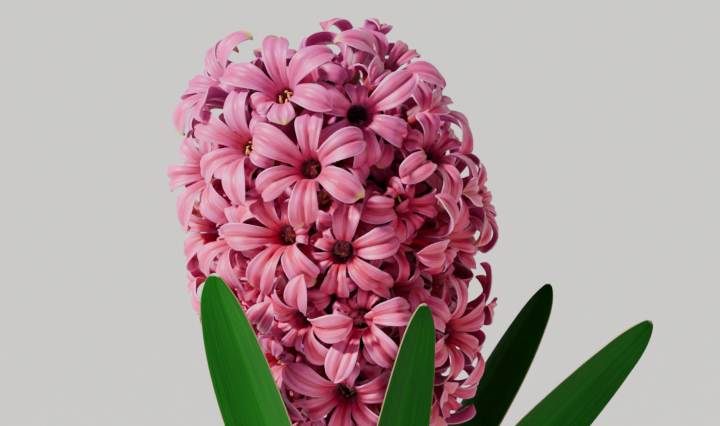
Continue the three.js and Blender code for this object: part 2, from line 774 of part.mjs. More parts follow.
/** The flower head's florets, each standing on its own foot. */
function makeFlorets(florets, random) {
  const crowd = new Crowd();
  for (const floret of florets) {
    const { root, foot, mouth } = floret;
    const elbow = elbowOf(floret);
    crowd.addLine(root, foot, FLORET.baseRadius + BALL.radius / 2, floret);
    crowd.addLine(foot, elbow, FLORET.ovary.radius + BALL.radius / 2, floret);
    crowd.addLine(elbow, mouth, FLORET.ovary.radius + BALL.radius / 2, floret);
    crowd.add(mouth, BALL.mouth, floret);
  }
  return florets.map((floret, i) => {
    const name = `floret_${String(i + 1).padStart(2, "0")}`;
    const mesh = piece(name, floretGeometry(floret, crowd, random), petalPink);
    mesh.applyMatrix4(floret.frame);
    return mesh;
  });
}

// ---------------------------------------------------------------------------------------------------------
// Stem
// ---------------------------------------------------------------------------------------------------------

/** The stem's own column, bowed as the head leans. */
function columnGeometry(top) {
  const foot = BULB.top - BULB.neckDepth + GAP;
  const headFoot = HEAD.centre - HEAD.halfHeight;
  const skin = new Skin();
  let ring = null;
  for (let i = 0; i < STEM.stations; i++) {
    const z = mix(foot, top, i / (STEM.stations - 1));
    const radius =
      z < headFoot
        ? mix(STEM.footRadius, STEM.headRadius, (z - foot) / (headFoot - foot))
        : mix(STEM.headRadius, STEM.tipRadius, (z - headFoot) / (top - headFoot));
    const next = skin.ring(circle(radius, z, STEM.sides, 0).map((p) => p.setX(p.x + stemShift(z))));
    if (ring) skin.band(ring, next);
    else skin.root(next, skin.point(0, 0, z));
    ring = next;
  }
  skin.tip(ring, skin.point(stemShift(top), 0, top + 1));
  return skin.geometry();
}

/** A floret's stalk, from deep in the column to just short of the floret's foot. */
function stalkGeometry({ root, foot, facing }) {
  const outward = foot.clone().sub(root).normalize();
  const length = root.distanceTo(foot) - GAP - FLORET.baseRadius * Math.sin(outward.angleTo(facing));
  const stalk = new THREE.CylinderGeometry(FLORET.baseRadius, FLORET.baseRadius + 0.1, length, 5);
  stalk.rotateX(Math.PI / 2);
  stalk.translate(0, 0, length / 2);
  return stalk.applyMatrix4(frameFacing(outward).setPosition(root));
}

/** A closed bud, blunt at its tip, with its foot sunk into the stem's tip. */
function budGeometry({ azimuth, tilt, length }, top) {
  const skin = new Skin();
  const rings = BUD.rings.map(([wide, share]) =>
    skin.ring(circle(BUD.radius * wide, length * share, BUD.sides, 0)),
  );
  skin.root(rings[0], skin.point(0, 0, 0));
  rings.slice(1).forEach((ring, i) => skin.band(rings[i], ring));
  skin.tip(rings.at(-1), skin.point(0, 0, length));
  const facing = new THREE.Vector3(0, 0, 1)
    .applyAxisAngle(new THREE.Vector3(1, 0, 0), radians(tilt))
    .applyAxisAngle(new THREE.Vector3(0, 0, 1), radians(azimuth));
  const foot = new THREE.Vector3(stemShift(top), 0, top - BUD.sink);
  return skin.geometry().applyMatrix4(frameFacing(facing).setPosition(foot));
}

/** The column with a stalk for each floret and the buds at its tip. */
function makeStem(florets) {
  const top = Math.max(...florets.map((floret) => floret.root.z)) + STEM.tipLength;
  let stem = solidOf(columnGeometry(top));
  for (const floret of florets) stem = stem.add(solidOf(stalkGeometry(floret)));
  for (const bud of BUDS) stem = stem.add(solidOf(budGeometry(bud, top)));
  return piece("stem", geometryOf(stem), stemGreen);
}

// ---------------------------------------------------------------------------------------------------------
// The plant
// ---------------------------------------------------------------------------------------------------------

const random = randomSource(SEED);
const florets = standFlorets(random);
const head = new THREE.Group();
head.add(...makeFlorets(florets, random));

const plant = new THREE.Group();
plant.add(makePot(), makeSoil(), makeBulb(), ...LEAVES.map(makeLeaf), makeStem(florets), head);

export default plant;
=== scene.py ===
"""A pink hyacinth in full flower, grown from a bulb in a round terracotta pot.

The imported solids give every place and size. A floret or a leaf is read back from its solid as a few
cross-sections, and a finer blade is drawn through them. Metres, +Z up, and the plant's front faces -Y.
"""

import logging
import math
import random
from collections.abc import Callable, Iterable, Sequence
from dataclasses import dataclass, field
from enum import Enum
from typing import Any

import bmesh
import bpy
import numpy as np
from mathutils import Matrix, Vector, noise


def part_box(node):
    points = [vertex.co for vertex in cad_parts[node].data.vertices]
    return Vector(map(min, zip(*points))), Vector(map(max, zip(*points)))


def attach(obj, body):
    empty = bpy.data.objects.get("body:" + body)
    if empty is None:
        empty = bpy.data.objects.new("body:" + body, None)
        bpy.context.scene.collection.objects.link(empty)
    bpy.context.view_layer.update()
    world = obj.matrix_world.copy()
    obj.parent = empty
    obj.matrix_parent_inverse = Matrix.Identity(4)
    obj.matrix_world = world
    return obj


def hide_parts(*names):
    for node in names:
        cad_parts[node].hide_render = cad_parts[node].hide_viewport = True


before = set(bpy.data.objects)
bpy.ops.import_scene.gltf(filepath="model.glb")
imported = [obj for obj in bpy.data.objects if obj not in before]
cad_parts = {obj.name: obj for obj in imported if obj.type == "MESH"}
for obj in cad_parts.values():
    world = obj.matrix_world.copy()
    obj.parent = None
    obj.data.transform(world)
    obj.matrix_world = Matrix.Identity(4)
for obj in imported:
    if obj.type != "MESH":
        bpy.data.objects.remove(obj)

LOG = logging.getLogger("hyacinth")
MM = 0.001
WELD = 2e-6  # points nearer than this are one
BODY = "root"
SEED = 1861
TEPALS = 6  # of each floret
HEAD_MIDDLE = 0.222  # the height of the flower head's middle

Grid = np.ndarray
Colour = tuple[float, float, float, float]
Span = tuple[float, float]
Rows = tuple[tuple[float, ...], ...]
Socket = bpy.types.NodeSocket
Piece = bpy.types.Object
Draw = random.Random


def colour(red: int, green: int, blue: int) -> Colour:
    """Turns screen values into linear light.

    Args:
        red: From 0 to 255, as are the other two.
        green: The green value.
        blue: The blue value.

    Returns:
        The colour with an alpha of 1.
    """
    def linear(value: int) -> float:
        """One channel in linear light."""
        share = value / 255
        return share / 12.92 if share <= 0.04045 else ((share + 0.055) / 1.055) ** 2.4

    return (linear(red), linear(green), linear(blue), 1.0)


# ---- Node trees ----


def operator(operation: str, swapped: bool = False) -> Callable[..., "Signal"]:
    """Makes an operator of signals.

    Args:
        operation: The Math node's operation.
        swapped: Whether the signal stands on the right.

    Returns:
        The operator, which adds the node.
    """
    def apply(signal: "Signal", *others: "Number") -> "Signal":
        """The result of the operation."""
        return signal.tree.maths(operation, *(*others, signal) if swapped else (signal, *others))

    return apply


class Signal:
    """A number that comes out of a socket. Arithmetic on it adds Math nodes to its tree."""

    def __init__(self, tree: "Tree", socket: Socket) -> None:
        """Keeps the tree and the socket."""
        self.tree = tree
        self.socket = socket

    __add__ = __radd__ = operator("ADD")
    __mul__ = __rmul__ = operator("MULTIPLY")
    __sub__ = operator("SUBTRACT")
    __rsub__ = operator("SUBTRACT", swapped=True)
    __truediv__ = operator("DIVIDE")
    __rtruediv__ = operator("DIVIDE", swapped=True)
    __pow__ = operator("POWER")
    __rpow__ = operator("POWER", swapped=True)
    __abs__ = operator("ABSOLUTE")

    def held(self) -> "Signal":
        """The number kept from 0 to 1."""
        return self.rise(0, 1, "LINEAR")

    def rise(self, low: float, high: float, form: str = "SMOOTHSTEP") -> "Signal":
        """A step from 0 to 1.

        Args:
            low: Where the step starts.
            high: Where it ends.
            form: Smooth, or straight.

        Returns:
            0 up to low, and 1 from high on.
        """
        sockets = {"Value": self, "From Min": low, "From Max": high}
        step = self.tree.node("ShaderNodeMapRange", {"interpolation_type": form}, sockets)
        return Signal(self.tree, step.outputs[0])


Number = Signal | float


class Tree:
    """A shader or geometry node tree under construction."""

    def __init__(self, tree: bpy.types.NodeTree) -> None:
        """Takes over an empty tree."""
        self.tree = tree

    def node(
        self, kind: str, settings: dict[str, Any] | None = None, sockets: dict[str | int, Any] | None = None
    ) -> bpy.types.Node:
        """Adds a node.

        Args:
            kind: The node's type.
            settings: Its own settings, which are set first.
            sockets: A value or a link for each socket, by identifier, name or place.

        Returns:
            The node.
        """
        made = self.tree.nodes.new(kind)
        for name, value in (settings or {}).items():
            setattr(made, name, value)
        for key, value in (sockets or {}).items():
            self.feed(self.find(made.inputs, key), value)
        return made

    @staticmethod
    def find(sockets: Iterable[Socket], key: str | int) -> Socket:
        """Finds a socket.

        Args:
            sockets: The sockets of one side of a node.
            key: Its place, its identifier or its name.

        Returns:
            The socket.
        """
        listed = list(sockets)
        if isinstance(key, int):
            return listed[key]
        named = [socket for socket in listed if key in (socket.identifier, socket.name)]
        return next((socket for socket in named if socket.identifier == key), named[0])

    def feed(self, socket: Socket, value: Any) -> None:
        """Gives a socket a value, or links it.

        Args:
            socket: The socket to set.
            value: A plain value, a signal or another node's socket.
        """
        source = value.socket if isinstance(value, Signal) else value
        if isinstance(source, Socket):
            self.tree.links.new(source, socket)
        else:
            socket.default_value = source

    def maths(self, operation: str, *terms: Number) -> Signal:
        """One Math node on one, two or three numbers."""
        made = self.node("ShaderNodeMath", {"operation": operation}, dict(enumerate(terms)))
        return Signal(self, made.outputs[0])

    def vector(self, x: Number, y: Number, z: Number) -> Socket:
        """A vector of three numbers."""
        return self.node("ShaderNodeCombineXYZ", None, {0: x, 1: y, 2: z}).outputs[0]

    def vector_maths(self, operation: str, sockets: dict[str | int, Any]) -> Socket:
        """One Vector Math node."""
        return self.node("ShaderNodeVectorMath", {"operation": operation}, sockets).outputs[0]


class ShaderTree(Tree):
    """A material's tree, with what a surface can read."""

    def split(self, vector: Socket) -> tuple[Signal, Signal, Signal]:
        """The three numbers of a vector."""
        parts = self.node("ShaderNodeSeparateXYZ", None, {0: vector})
        return tuple(Signal(self, socket) for socket in parts.outputs)

    def place(self) -> Socket:
        """Where the point lies on the plant."""
        return self.node("ShaderNodeTexCoord").outputs["Object"]

    def strap(self) -> tuple[Signal, Signal, Signal]:
        """How far across the piece the point lies, how far along it, and on which side."""
        return self.split(self.node("ShaderNodeAttribute", {"attribute_name": "strap"}).outputs["Vector"])

    def mood(self) -> tuple[Signal, Signal, Signal, Signal]:
        """The four tints of this part of the piece."""
        read = self.node("ShaderNodeAttribute", {"attribute_name": "mood"})
        parts = self.node("ShaderNodeSeparateColor", None, {0: read.outputs["Color"]})
        return (*(Signal(self, socket) for socket in parts.outputs), Signal(self, read.outputs["Alpha"]))

    def noise(self, where: Socket, scale: float, detail: float = 2.0, roughness: float = 0.5) -> Signal:
        """Noise from 0 to 1: the scale is in clouds a unit, the detail is its finer layers."""
        sockets = {"Vector": where, "Scale": scale, "Detail": detail, "Roughness": roughness}
        return Signal(self, self.node("ShaderNodeTexNoise", None, sockets).outputs[0])

    def streaks(self, x: Number, y: Number, z: Number, detail: float, roughness: float) -> Signal:
        """Noise that is stretched differently along each axis."""
        return self.noise(self.vector(x, y, z), 1.0, detail, roughness)

    def cells(self, where: Socket, scale: float) -> Signal:
        """The distance to the nearest of scattered points."""
        made = self.node("ShaderNodeTexVoronoi", None, {"Vector": where, "Scale": scale})
        return Signal(self, made.outputs["Distance"])

    def blend(self, share: Number, first: Any, second: Any) -> Socket:
        """A share of the second colour in the first. Each is a colour or a link."""
        sockets = {"Factor_Float": share, "A_Color": first, "B_Color": second}
        return self.find(self.node("ShaderNodeMix", {"data_type": "RGBA"}, sockets).outputs, "Result_Color")

    def bump(self, height: Number, depth: float, under: Any = None) -> Socket:
        """A relief too fine for the mesh.

        Args:
            height: From 0 to 1.
            depth: The height of 1, in metres.
            under: The normal of a coarser relief below it, if any.

        Returns:
            The normal's socket.
        """
        sockets: dict[str | int, Any] = {"Height": height, "Distance": depth, "Strength": 1.0}
        if under is not None:
            sockets["Normal"] = under
        return self.node("ShaderNodeBump", None, sockets).outputs[0]


# ---- Finishes ----


@dataclass(frozen=True)
class Finish:
    """A surface finish. Each kind fills the sockets of one Principled shader."""

    name: str

    def sockets(self, tree: ShaderTree) -> dict[str, Any]:
        """Fills the shader's sockets.

        Args:
            tree: The material's tree.

        Returns:
            A value or a link for each socket that isn't left as it is.
        """
        raise NotImplementedError

    @staticmethod
    def flesh(weight: float, spread: tuple[float, float, float], depth: float) -> dict[str, Any]:
        """The sockets of the light that spreads under a juicy skin."""
        return {"Subsurface Weight": weight, "Subsurface Radius": spread, "Subsurface Scale": depth}

    def material(self) -> bpy.types.Material:
        """Makes the material.

        Returns:
            A new material with this finish.
        """
        made = bpy.data.materials.new(self.name)
        made.use_nodes = True
        made.node_tree.nodes.clear()
        tree = ShaderTree(made.node_tree)
        shader = tree.node("ShaderNodeBsdfPrincipled", None, self.sockets(tree))
        tree.node("ShaderNodeOutputMaterial", None, {"Surface": shader.outputs[0]})
        return made


@dataclass(frozen=True)
class TepalFinish(Finish):
    """Fleshy pink tepals with pale margins, partly a painted highlight, and a deep midline, partly painted
    shade in its groove, over a wine-red tube and a dark throat.
    """

    name: str = "tepal_pink"
    # light and deep also carry painted light and painted shade: the paler margins and the lit left of the
    # head, the deeper midline groove and the shaded right.
    light: Colour = colour(255, 108, 190)
    pink: Colour = colour(246, 28, 102)
    deep: Colour = colour(160, 0, 42)
    back: Colour = colour(194, 70, 156)
    lilac: Colour = colour(196, 92, 200)
    # The pale margin is partly a painted highlight along the tepal's edge.
    margin: Colour = colour(255, 204, 234)
    tube: Colour = colour(112, 8, 26)
    rib: Colour = colour(214, 36, 62)
    foot: Colour = colour(122, 100, 40)
    throat: Colour = colour(30, 4, 30)
    green: Colour = colour(214, 206, 84)
    coral: Colour = colour(240, 24, 26)
    lilac_from: Span = (0.228, 0.276)  # heights between which the lilac comes in
    cloud_scale: float = 230
    sparkle_scale: float = 3400

    def sockets(self, tree: ShaderTree) -> dict[str, Any]:
        """Fills the shader's sockets.

        Args:
            tree: The material's tree.

        Returns:
            Their values and links.
        """
        x, y, inner = tree.strap()
        flush, pale, tip_tint, dark = tree.mood()
        where = tree.place()
        across = abs(x)
        streaks = tree.streaks(x * 6, y * 1.1, flush * 9, 3, 0.55)
        fine = tree.streaks(x * 26, y * 2.2, pale * 7, 2, 0.5)
        cloud = tree.noise(where, self.cloud_scale)
        inside = inner.rise(0.3, 0.7)
        root = 1 - y.rise(-0.02, 0.5)

        # The inner face is paler towards its margins, partly a painted highlight on the raised edges, and
        # redder at its root and along its lines, the midline partly painted shade in its groove.
        lightness = across.rise(0.2, 0.95) * 0.5 + pale * 0.65 + (cloud - 0.5) * 1.4
        lightness = lightness + streaks.rise(0.6, 0.3) * 0.5 - root * 0.4 - 0.1
        lines = (1 - across.rise(0.0, 0.26)) * 0.5 + streaks.rise(0.46, 0.72) * 0.36
        lines = lines + fine.rise(0.48, 0.7) * 0.2
        blush_and_painted_shade = lines * (1.05 - y * 0.4) + root * 0.34 + flush * 0.44 - 0.02
        face = tree.blend(lightness.held(), self.pink, self.light)
        face = tree.blend(blush_and_painted_shade.held(), face, self.deep)

        # The back is cooler, with a red rib.
        lightness = across.rise(0.4, 1.0) * 0.5 + pale * 0.4 + (cloud - 0.5)
        blush_and_painted_shade = (1 - across.rise(0.04, 0.5)) * 0.62 + fine.rise(0.46, 0.7) * 0.16
        blush_and_painted_shade = blush_and_painted_shade + root * 0.5 + flush * 0.4 - 0.04
        back = tree.blend(lightness.held(), self.back, self.light)
        back = tree.blend(blush_and_painted_shade.held(), back, self.deep)

        # Both turn lilac high in the head, and end in pale margins, partly a painted highlight along the
        # edges, and green or coral tips.
        high = tree.split(where)[2].rise(*self.lilac_from) * (0.5 - flush * 0.4) * (cloud + 0.2)
        tip = y.rise(0.78, 1.0) * (cloud + fine * 0.7).rise(0.35, 0.85)
        stain = (1 - y.rise(0.0, 0.09)) * dark * inside * fine.rise(0.3, 0.6)
        tepal = tree.blend(inside, back, face)
        tepal = tree.blend(high.held(), tepal, self.lilac)
        tepal = tree.blend(across.rise(0.93, 0.995) * (cloud + 0.1), tepal, self.margin)
        tepal = tree.blend(tip * tip_tint.held(), tepal, self.green)
        tepal = tree.blend((tip + root * 0.5).held() * (tip_tint * -1).held(), tepal, self.coral)
        tepal = tree.blend(stain.held(), tepal, self.throat)

        # The tube is striped and runs into the backs. The throat runs into the faces.
        stripe = (1 - across.rise(0.1, 0.55)) * 0.75 + fine.rise(0.45, 0.7) * 0.3
        tube = tree.blend((stripe * (0.55 + flush * 0.6)).held(), self.tube, self.rib)
        tube = tree.blend((1 - y.rise(-0.98, -0.62)) * 0.8, tube, self.foot)
        tube = tree.blend(y.rise(-0.3, 0.08), tube, tepal)
        mouth = tree.blend((1 - y.rise(-0.3, -0.02)) * (dark * 0.5 + 0.5), tepal, self.throat)
        relief = tree.bump(streaks * 0.6 + fine * 0.4, 0.14 * MM)
        return {
            "Base Color": tree.blend(inside, tube, mouth),
            "Roughness": (0.26 + cloud * 0.22 + fine * 0.1).held(),
            "Normal": tree.bump(tree.cells(where, self.sparkle_scale), 0.04 * MM, relief),
            "Specular IOR Level": 0.55,
            "Sheen Weight": 0.12,
            "Sheen Roughness": 0.35,
            **self.flesh(0.16, (1.0, 0.36, 0.42), 1.1 * MM),
        }


@dataclass(frozen=True)
class BudFinish(Finish):
    """Closed buds, wine-red below and lilac-pink above, with a waxy green point."""

    name: str = "bud_pink"
    wine: Colour = colour(112, 14, 34)
    pink: Colour = colour(214, 70, 122)
    green: Colour = colour(176, 186, 84)

    def sockets(self, tree: ShaderTree) -> dict[str, Any]:
        """Fills the shader's sockets.

        Args:
            tree: The material's tree.

        Returns:
            Their values and links.
        """
        x, y, _ = tree.strap()
        flush, pale, green, _ = tree.mood()
        streaks = tree.streaks(x * 16, y * 2, flush * 9, 3, 0.6)
        body = tree.blend((y.rise(0.1, 0.75) * (0.6 + pale)).held(), self.wine, self.pink)
        body = tree.blend(streaks.rise(0.45, 0.7) * 0.5, body, self.wine)
        unripe = y.rise(0.72, 1.0) * green + (1 - y.rise(0.0, 0.2)) * 0.6
        body = tree.blend(unripe.held(), body, self.green)
        return {
            "Base Color": body,
            "Roughness": (0.34 + streaks * 0.2).held(),
            "Normal": tree.bump(streaks, 0.15 * MM),
            **self.flesh(0.15, (1.0, 0.4, 0.4), 1.1 * MM),
        }


@dataclass(frozen=True)
class AntherFinish(Finish):
    """Anthers, blue-black while closed and dusted with golden pollen once open."""

    name: str = "anther"
    closed: Colour = colour(34, 14, 40)
    pollen: Colour = colour(238, 196, 96)

    def sockets(self, tree: ShaderTree) -> dict[str, Any]:
        """Fills the shader's sockets.

        Args:
            tree: The material's tree.

        Returns:
            Their values and links.
        """
        ripe = Signal(tree, tree.node("ShaderNodeAttribute", {"attribute_name": "ripe"}).outputs["Fac"])
        grain = tree.noise(tree.place(), 2600, 2, 0.6)
        dusted = (ripe * 1.4 - 0.35 + (grain - 0.5) * 1.6).held()
        return {
            "Base Color": tree.blend(dusted, self.closed, self.pollen),
            "Roughness": 0.4 + dusted * 0.4,
            "Normal": tree.bump(grain, 0.08 * MM),
        }


@dataclass(frozen=True)
class LeafFinish(Finish):
    """A glossy strap leaf with fine parallel veins, a pale thread of a margin and a blanched foot."""

    name: str = "leaf_green"
    dark: Colour = colour(0, 58, 0)
    green: Colour = colour(4, 102, 0)
    bright: Colour = colour(34, 136, 0)
    blanched: Colour = colour(196, 206, 140)
    margin: Colour = colour(196, 160, 124)
    point: Colour = colour(226, 214, 176)

    def sockets(self, tree: ShaderTree) -> dict[str, Any]:
        """Fills the shader's sockets.

        Args:
            tree: The material's tree.

        Returns:
            Their values and links.
        """
        x, y, upper = tree.strap()
        across = abs(x)
        veins = tree.streaks(x * 22, y * 1.6, 0.0, 3, 0.55)
        fine = tree.streaks(x * 75, y * 5, 3.0, 2, 0.5)
        cloud = tree.noise(tree.place(), 42, 3, 0.55)
        body = tree.blend((veins * 0.9 + cloud * 0.5 - 0.25).held(), self.dark, self.green)
        body = tree.blend(fine.rise(0.5, 0.72) * 0.3, body, self.bright)
        keel = (1 - across.rise(0.0, 0.16)) * (0.34 - upper * 0.2)
        body = tree.blend(keel.held(), body, self.bright)
        body = tree.blend((1 - y.rise(0.02, 0.2)) * 0.85, body, self.blanched)
        body = tree.blend(across.rise(0.97, 0.99) * 0.7, body, self.margin)
        body = tree.blend(y.rise(0.993, 0.999), body, self.point)
        return {
            "Base Color": body,
            "Roughness": (0.3 + veins * 0.12 + cloud * 0.12).held(),
            "Normal": tree.bump(fine, 0.05 * MM, tree.bump(veins, 0.16 * MM)),
            "Specular IOR Level": 0.08,
            "Coat Weight": 0.05,
            "Coat Roughness": 0.15,
            **self.flesh(0.08, (0.5, 1.0, 0.2), 1.2 * MM),
        }


@dataclass(frozen=True)
class StemFinish(Finish):
    """A juicy stem, pale green below and flushed with red where it carries the florets."""

    name: str = "stem_green"
    pale: Colour = colour(172, 190, 104)
    green: Colour = colour(104, 140, 58)
    flushed: Colour = colour(126, 52, 52)
    head: Span = (0.165, 0.235)  # heights between which the flush comes in

    def sockets(self, tree: ShaderTree) -> dict[str, Any]:
        """Fills the shader's sockets.

        Args:
            tree: The material's tree.

        Returns:
            Their values and links.
        """
        where = tree.place()
        x, y, z = tree.split(where)
        lines = tree.streaks(x * 900, y * 900, z * 40, 3, 0.6)
        cloud = tree.noise(where, 160, 3, 0.5)
        body = tree.blend((lines + cloud - 0.5).held(), self.green, self.pale)
        body = tree.blend((z.rise(*self.head) * 0.55 * (cloud + 0.5)).held(), body, self.flushed)
        return {
            "Base Color": body,
            "Roughness": (0.34 + lines * 0.2).held(),
            "Normal": tree.bump(lines, 0.12 * MM),
            **self.flesh(0.12, (0.6, 1.0, 0.3), 1.5 * MM),
        }


@dataclass(frozen=True)
class TunicFinish(Finish):
    """The bulb's papery coat, purple-brown with silvery sheen and fine upright nerves."""

    name: str = "bulb_tunic"
    plum: Colour = colour(112, 52, 74)
    silver: Colour = colour(190, 150, 160)
    dry: Colour = colour(146, 98, 70)
    nerve: Colour = colour(70, 26, 42)
    neck: Span = (0.092, 0.102)  # heights between which it turns drier

    def sockets(self, tree: ShaderTree) -> dict[str, Any]:
        """Fills the shader's sockets.

        Args:
            tree: The material's tree.

        Returns:
            Their values and links.
        """
        where = tree.place()
        x, y, z = tree.split(where)
        radius = (x * x + y * y) ** 0.5
        nerves = tree.streaks(x / radius * 26, y / radius * 26, z * 60, 4, 0.62)
        seams = tree.streaks(x / radius * 9, y / radius * 9, z * 24, 2, 0.5)
        cloud = tree.noise(where, 60, 4, 0.6)
        body = tree.blend(cloud.rise(0.35, 0.7) * 0.8, self.plum, self.dry)
        body = tree.blend(nerves.rise(0.44, 0.66) * 0.5, body, self.silver)
        body = tree.blend((1 - abs(seams - 0.5).rise(0.0, 0.03)) * 0.6, body, self.nerve)
        body = tree.blend(z.rise(*self.neck) * 0.6, body, self.dry)
        return {
            "Base Color": body,
            "Roughness": (0.36 + cloud * 0.35).held(),
            "Normal": tree.bump(nerves + cloud * 0.5, 0.5 * MM),
            "Sheen Weight": 0.15,
            "Sheen Roughness": 0.4,
        }


@dataclass(frozen=True)
class CompostFinish(Finish):
    """Dark, crumbly, slightly damp compost."""

    name: str = "compost"
    black: Colour = colour(26, 18, 13)
    brown: Colour = colour(70, 48, 33)
    fibre: Colour = colour(122, 92, 62)

    def sockets(self, tree: ShaderTree) -> dict[str, Any]:
        """Fills the shader's sockets.

        Args:
            tree: The material's tree.

        Returns:
            Their values and links.
        """
        where = tree.place()
        coarse = tree.noise(where, 260, 4, 0.65)
        fine = tree.noise(where, 1100, 3, 0.6)
        body = tree.blend(coarse.rise(0.35, 0.65), self.black, self.brown)
        body = tree.blend(fine.rise(0.6, 0.74) * 0.6, body, self.fibre)
        return {
            "Base Color": body,
            "Roughness": (0.7 + fine * 0.3).held(),
            "Normal": tree.bump(fine, 0.4 * MM, tree.bump(coarse, 1.2 * MM)),
            "Specular IOR Level": 0.3,
        }


@dataclass(frozen=True)
class GritFinish(Finish):
    """Light, porous grains of perlite."""

    name: str = "perlite"
    white: Colour = colour(226, 222, 210)
    stained: Colour = colour(150, 128, 100)

    def sockets(self, tree: ShaderTree) -> dict[str, Any]:
        """Fills the shader's sockets.

        Args:
            tree: The material's tree.

        Returns:
            Their values and links.
        """
        pores = tree.noise(tree.place(), 1700, 3, 0.65)
        return {
            "Base Color": tree.blend(pores.rise(0.5, 0.75), self.white, self.stained),
            "Roughness": 0.85 + pores * 0.1,
            "Normal": tree.bump(pores, 0.4 * MM),
        }


@dataclass(frozen=True)
class TerracottaFinish(Finish):
    """Fired clay with a fine grain and a lime bloom."""

    name: str = "terracotta"
    clay: Colour = colour(184, 98, 62)
    pale: Colour = colour(208, 132, 92)
    burnt: Colour = colour(138, 66, 42)
    bloom: Colour = colour(222, 196, 172)
    top: float = 90 * MM

    def sockets(self, tree: ShaderTree) -> dict[str, Any]:
        """Fills the shader's sockets.

        Args:
            tree: The material's tree.

        Returns:
            Their values and links.
        """
        where = tree.place()
        x, y, z = tree.split(where)
        height = z / self.top
        broad = tree.noise(where, 28, 4, 0.55)
        streak = tree.streaks(x * 40, y * 40, z * 260, 3, 0.5)
        grain = tree.noise(where, 1500, 3, 0.6)
        crust = tree.noise(where, 60, 5, 0.65)
        specks = tree.cells(where, 420)
        body = tree.blend(broad.rise(0.35, 0.68), self.clay, self.pale)
        body = tree.blend(streak.rise(0.52, 0.72) * 0.45, body, self.burnt)
        body = tree.blend((1 - specks.rise(0.1, 0.2)) * 0.35, body, self.burnt)
        ends = (1 - height.rise(0.0, 0.5)) * 0.5 + height.rise(0.8, 1.0) * 0.5
        bloom = crust.rise(0.5, 0.72) * (0.25 + ends)
        body = tree.blend(bloom.held(), body, self.bloom)
        relief = tree.bump(streak * 0.7 + crust * 0.3, 0.3 * MM)
        return {
            "Base Color": body,
            "Roughness": (0.72 + grain * 0.2 + bloom * 0.1).held(),
            "Normal": tree.bump(grain, 0.12 * MM, relief),
            "Specular IOR Level": 0.35,
        }


@dataclass(frozen=True)
class FloorFinish(Finish):
    """A plain pale studio floor."""

    name: str = "studio_floor"
    pale: Colour = colour(226, 224, 220)

    def sockets(self, tree: ShaderTree) -> dict[str, Any]:
        """Fills the shader's sockets."""
        return {"Base Color": self.pale, "Roughness": 0.8, "Specular IOR Level": 0.2}


# ---- Meshes ----


class Shell:
    """A closed skin under construction.

    Each face corner holds its place on the piece, as across, along and side, and its mood, which is four
    tints: how red, how pale, how green its tip (or how coral, below 0), and how dark its throat. On a
    floret, how red and how pale also carry painted shade and painted light across the head.
    """

    def __init__(self) -> None:
        """Starts with no points."""
        self.points: list[Grid] = []
        self.count = 0
        self.faces: list[list[int]] = []
        self.places: list[Grid] = []
        self.moods: list[Grid] = []
        self.mood = (0.0, 0.0, 0.0, 0.0)

    def add(self, points: Grid) -> Grid:
        """Adds points.

        Args:
            points: Any layout of points, with x, y and z last.

        Returns:
            Their numbers, in the same layout.
        """
        flat = np.asarray(points, float).reshape(-1, 3)
        numbers = np.arange(self.count, self.count + len(flat)).reshape(np.shape(points)[:-1])
        self.points.append(flat)
        self.count += len(flat)
        return numbers

    def sheet(self, numbers: Grid, across: Grid, along: Grid, side: float = 0.0) -> None:
        """Fills a grid of numbered points with quads, which face the way of across times along.

        Args:
            numbers: The points, in rows.
            across: The place of each column.
            along: The place of each row.
            side: The side of the whole sheet.
        """
        rows, columns = numbers.shape
        place = np.empty((rows, columns, 3))
        place[..., 0] = across
        place[..., 1] = np.asarray(along)[:, None]
        place[..., 2] = side

        def corners(grid: Grid) -> Grid:
            """The four corners of each quad."""
            return np.stack([grid[:-1, :-1], grid[:-1, 1:], grid[1:, 1:], grid[1:, :-1]], axis=2)

        quads = corners(numbers).reshape(-1, 4)
        self.faces.extend(quads.tolist())
        self.keep(corners(place).reshape(-1, 3))

    def fan(self, ring: Grid, across: Grid, along: float, pole: int, end: float, side: float = 0.0) -> None:
        """Closes the far edge of a sheet to one point.

        Args:
            ring: The points of the edge.
            across: Their places across.
            along: Their place along.
            pole: The point.
            end: Its place along.
            side: The side.
        """
        for i in range(len(ring) - 1):
            self.faces.append([int(ring[i]), int(ring[i + 1]), int(pole)])
            middle = (across[i] + across[i + 1]) / 2
            self.keep(np.array([[across[i], along, side], [across[i + 1], along, side], [middle, end, side]]))

    def rings(self, rings: Grid, along: Grid, low: Grid, high: Grid) -> None:
        """Adds rings of points as a closed skin, with a pole at each end.

        Args:
            rings: The rings, each of which goes round once.
            along: The place of each ring.
            low: The point that closes the first ring.
            high: The point that closes the last one.
        """
        numbers = self.add(rings)
        closed = np.concatenate([numbers, numbers[:, :1]], axis=1)
        across = np.linspace(-1, 1, closed.shape[1])
        first, last = self.add(np.array([low, high]))
        self.sheet(closed, across, along)
        self.fan(closed[0, ::-1], across[::-1], along[0], first, 0.0)
        self.fan(closed[-1], across, along[-1], last, 1.0)

    def keep(self, places: Grid) -> None:
        """Notes the places of the newest faces' corners, and the mood that they share."""
        self.places.append(places)
        self.moods.append(np.tile(self.mood, (len(places), 1)))

    def piece(self, name: str, material: bpy.types.Material) -> Piece:
        """Turns the skin into an object at the origin.

        Args:
            name: The piece's name.
            material: Its material.

        Returns:
            The object, in the scene.
        """
        mesh = bpy.data.meshes.new(name)
        mesh.from_pydata(np.concatenate(self.points).tolist(), [], self.faces)
        places = mesh.attributes.new("strap", "FLOAT_VECTOR", "CORNER")
        places.data.foreach_set("vector", np.concatenate(self.places).ravel())
        moods = mesh.attributes.new("mood", "FLOAT_COLOR", "CORNER")
        moods.data.foreach_set("color", np.concatenate(self.moods).ravel())
        mesh.materials.append(material)
        mesh.shade_smooth()
        return in_scene(name, mesh)


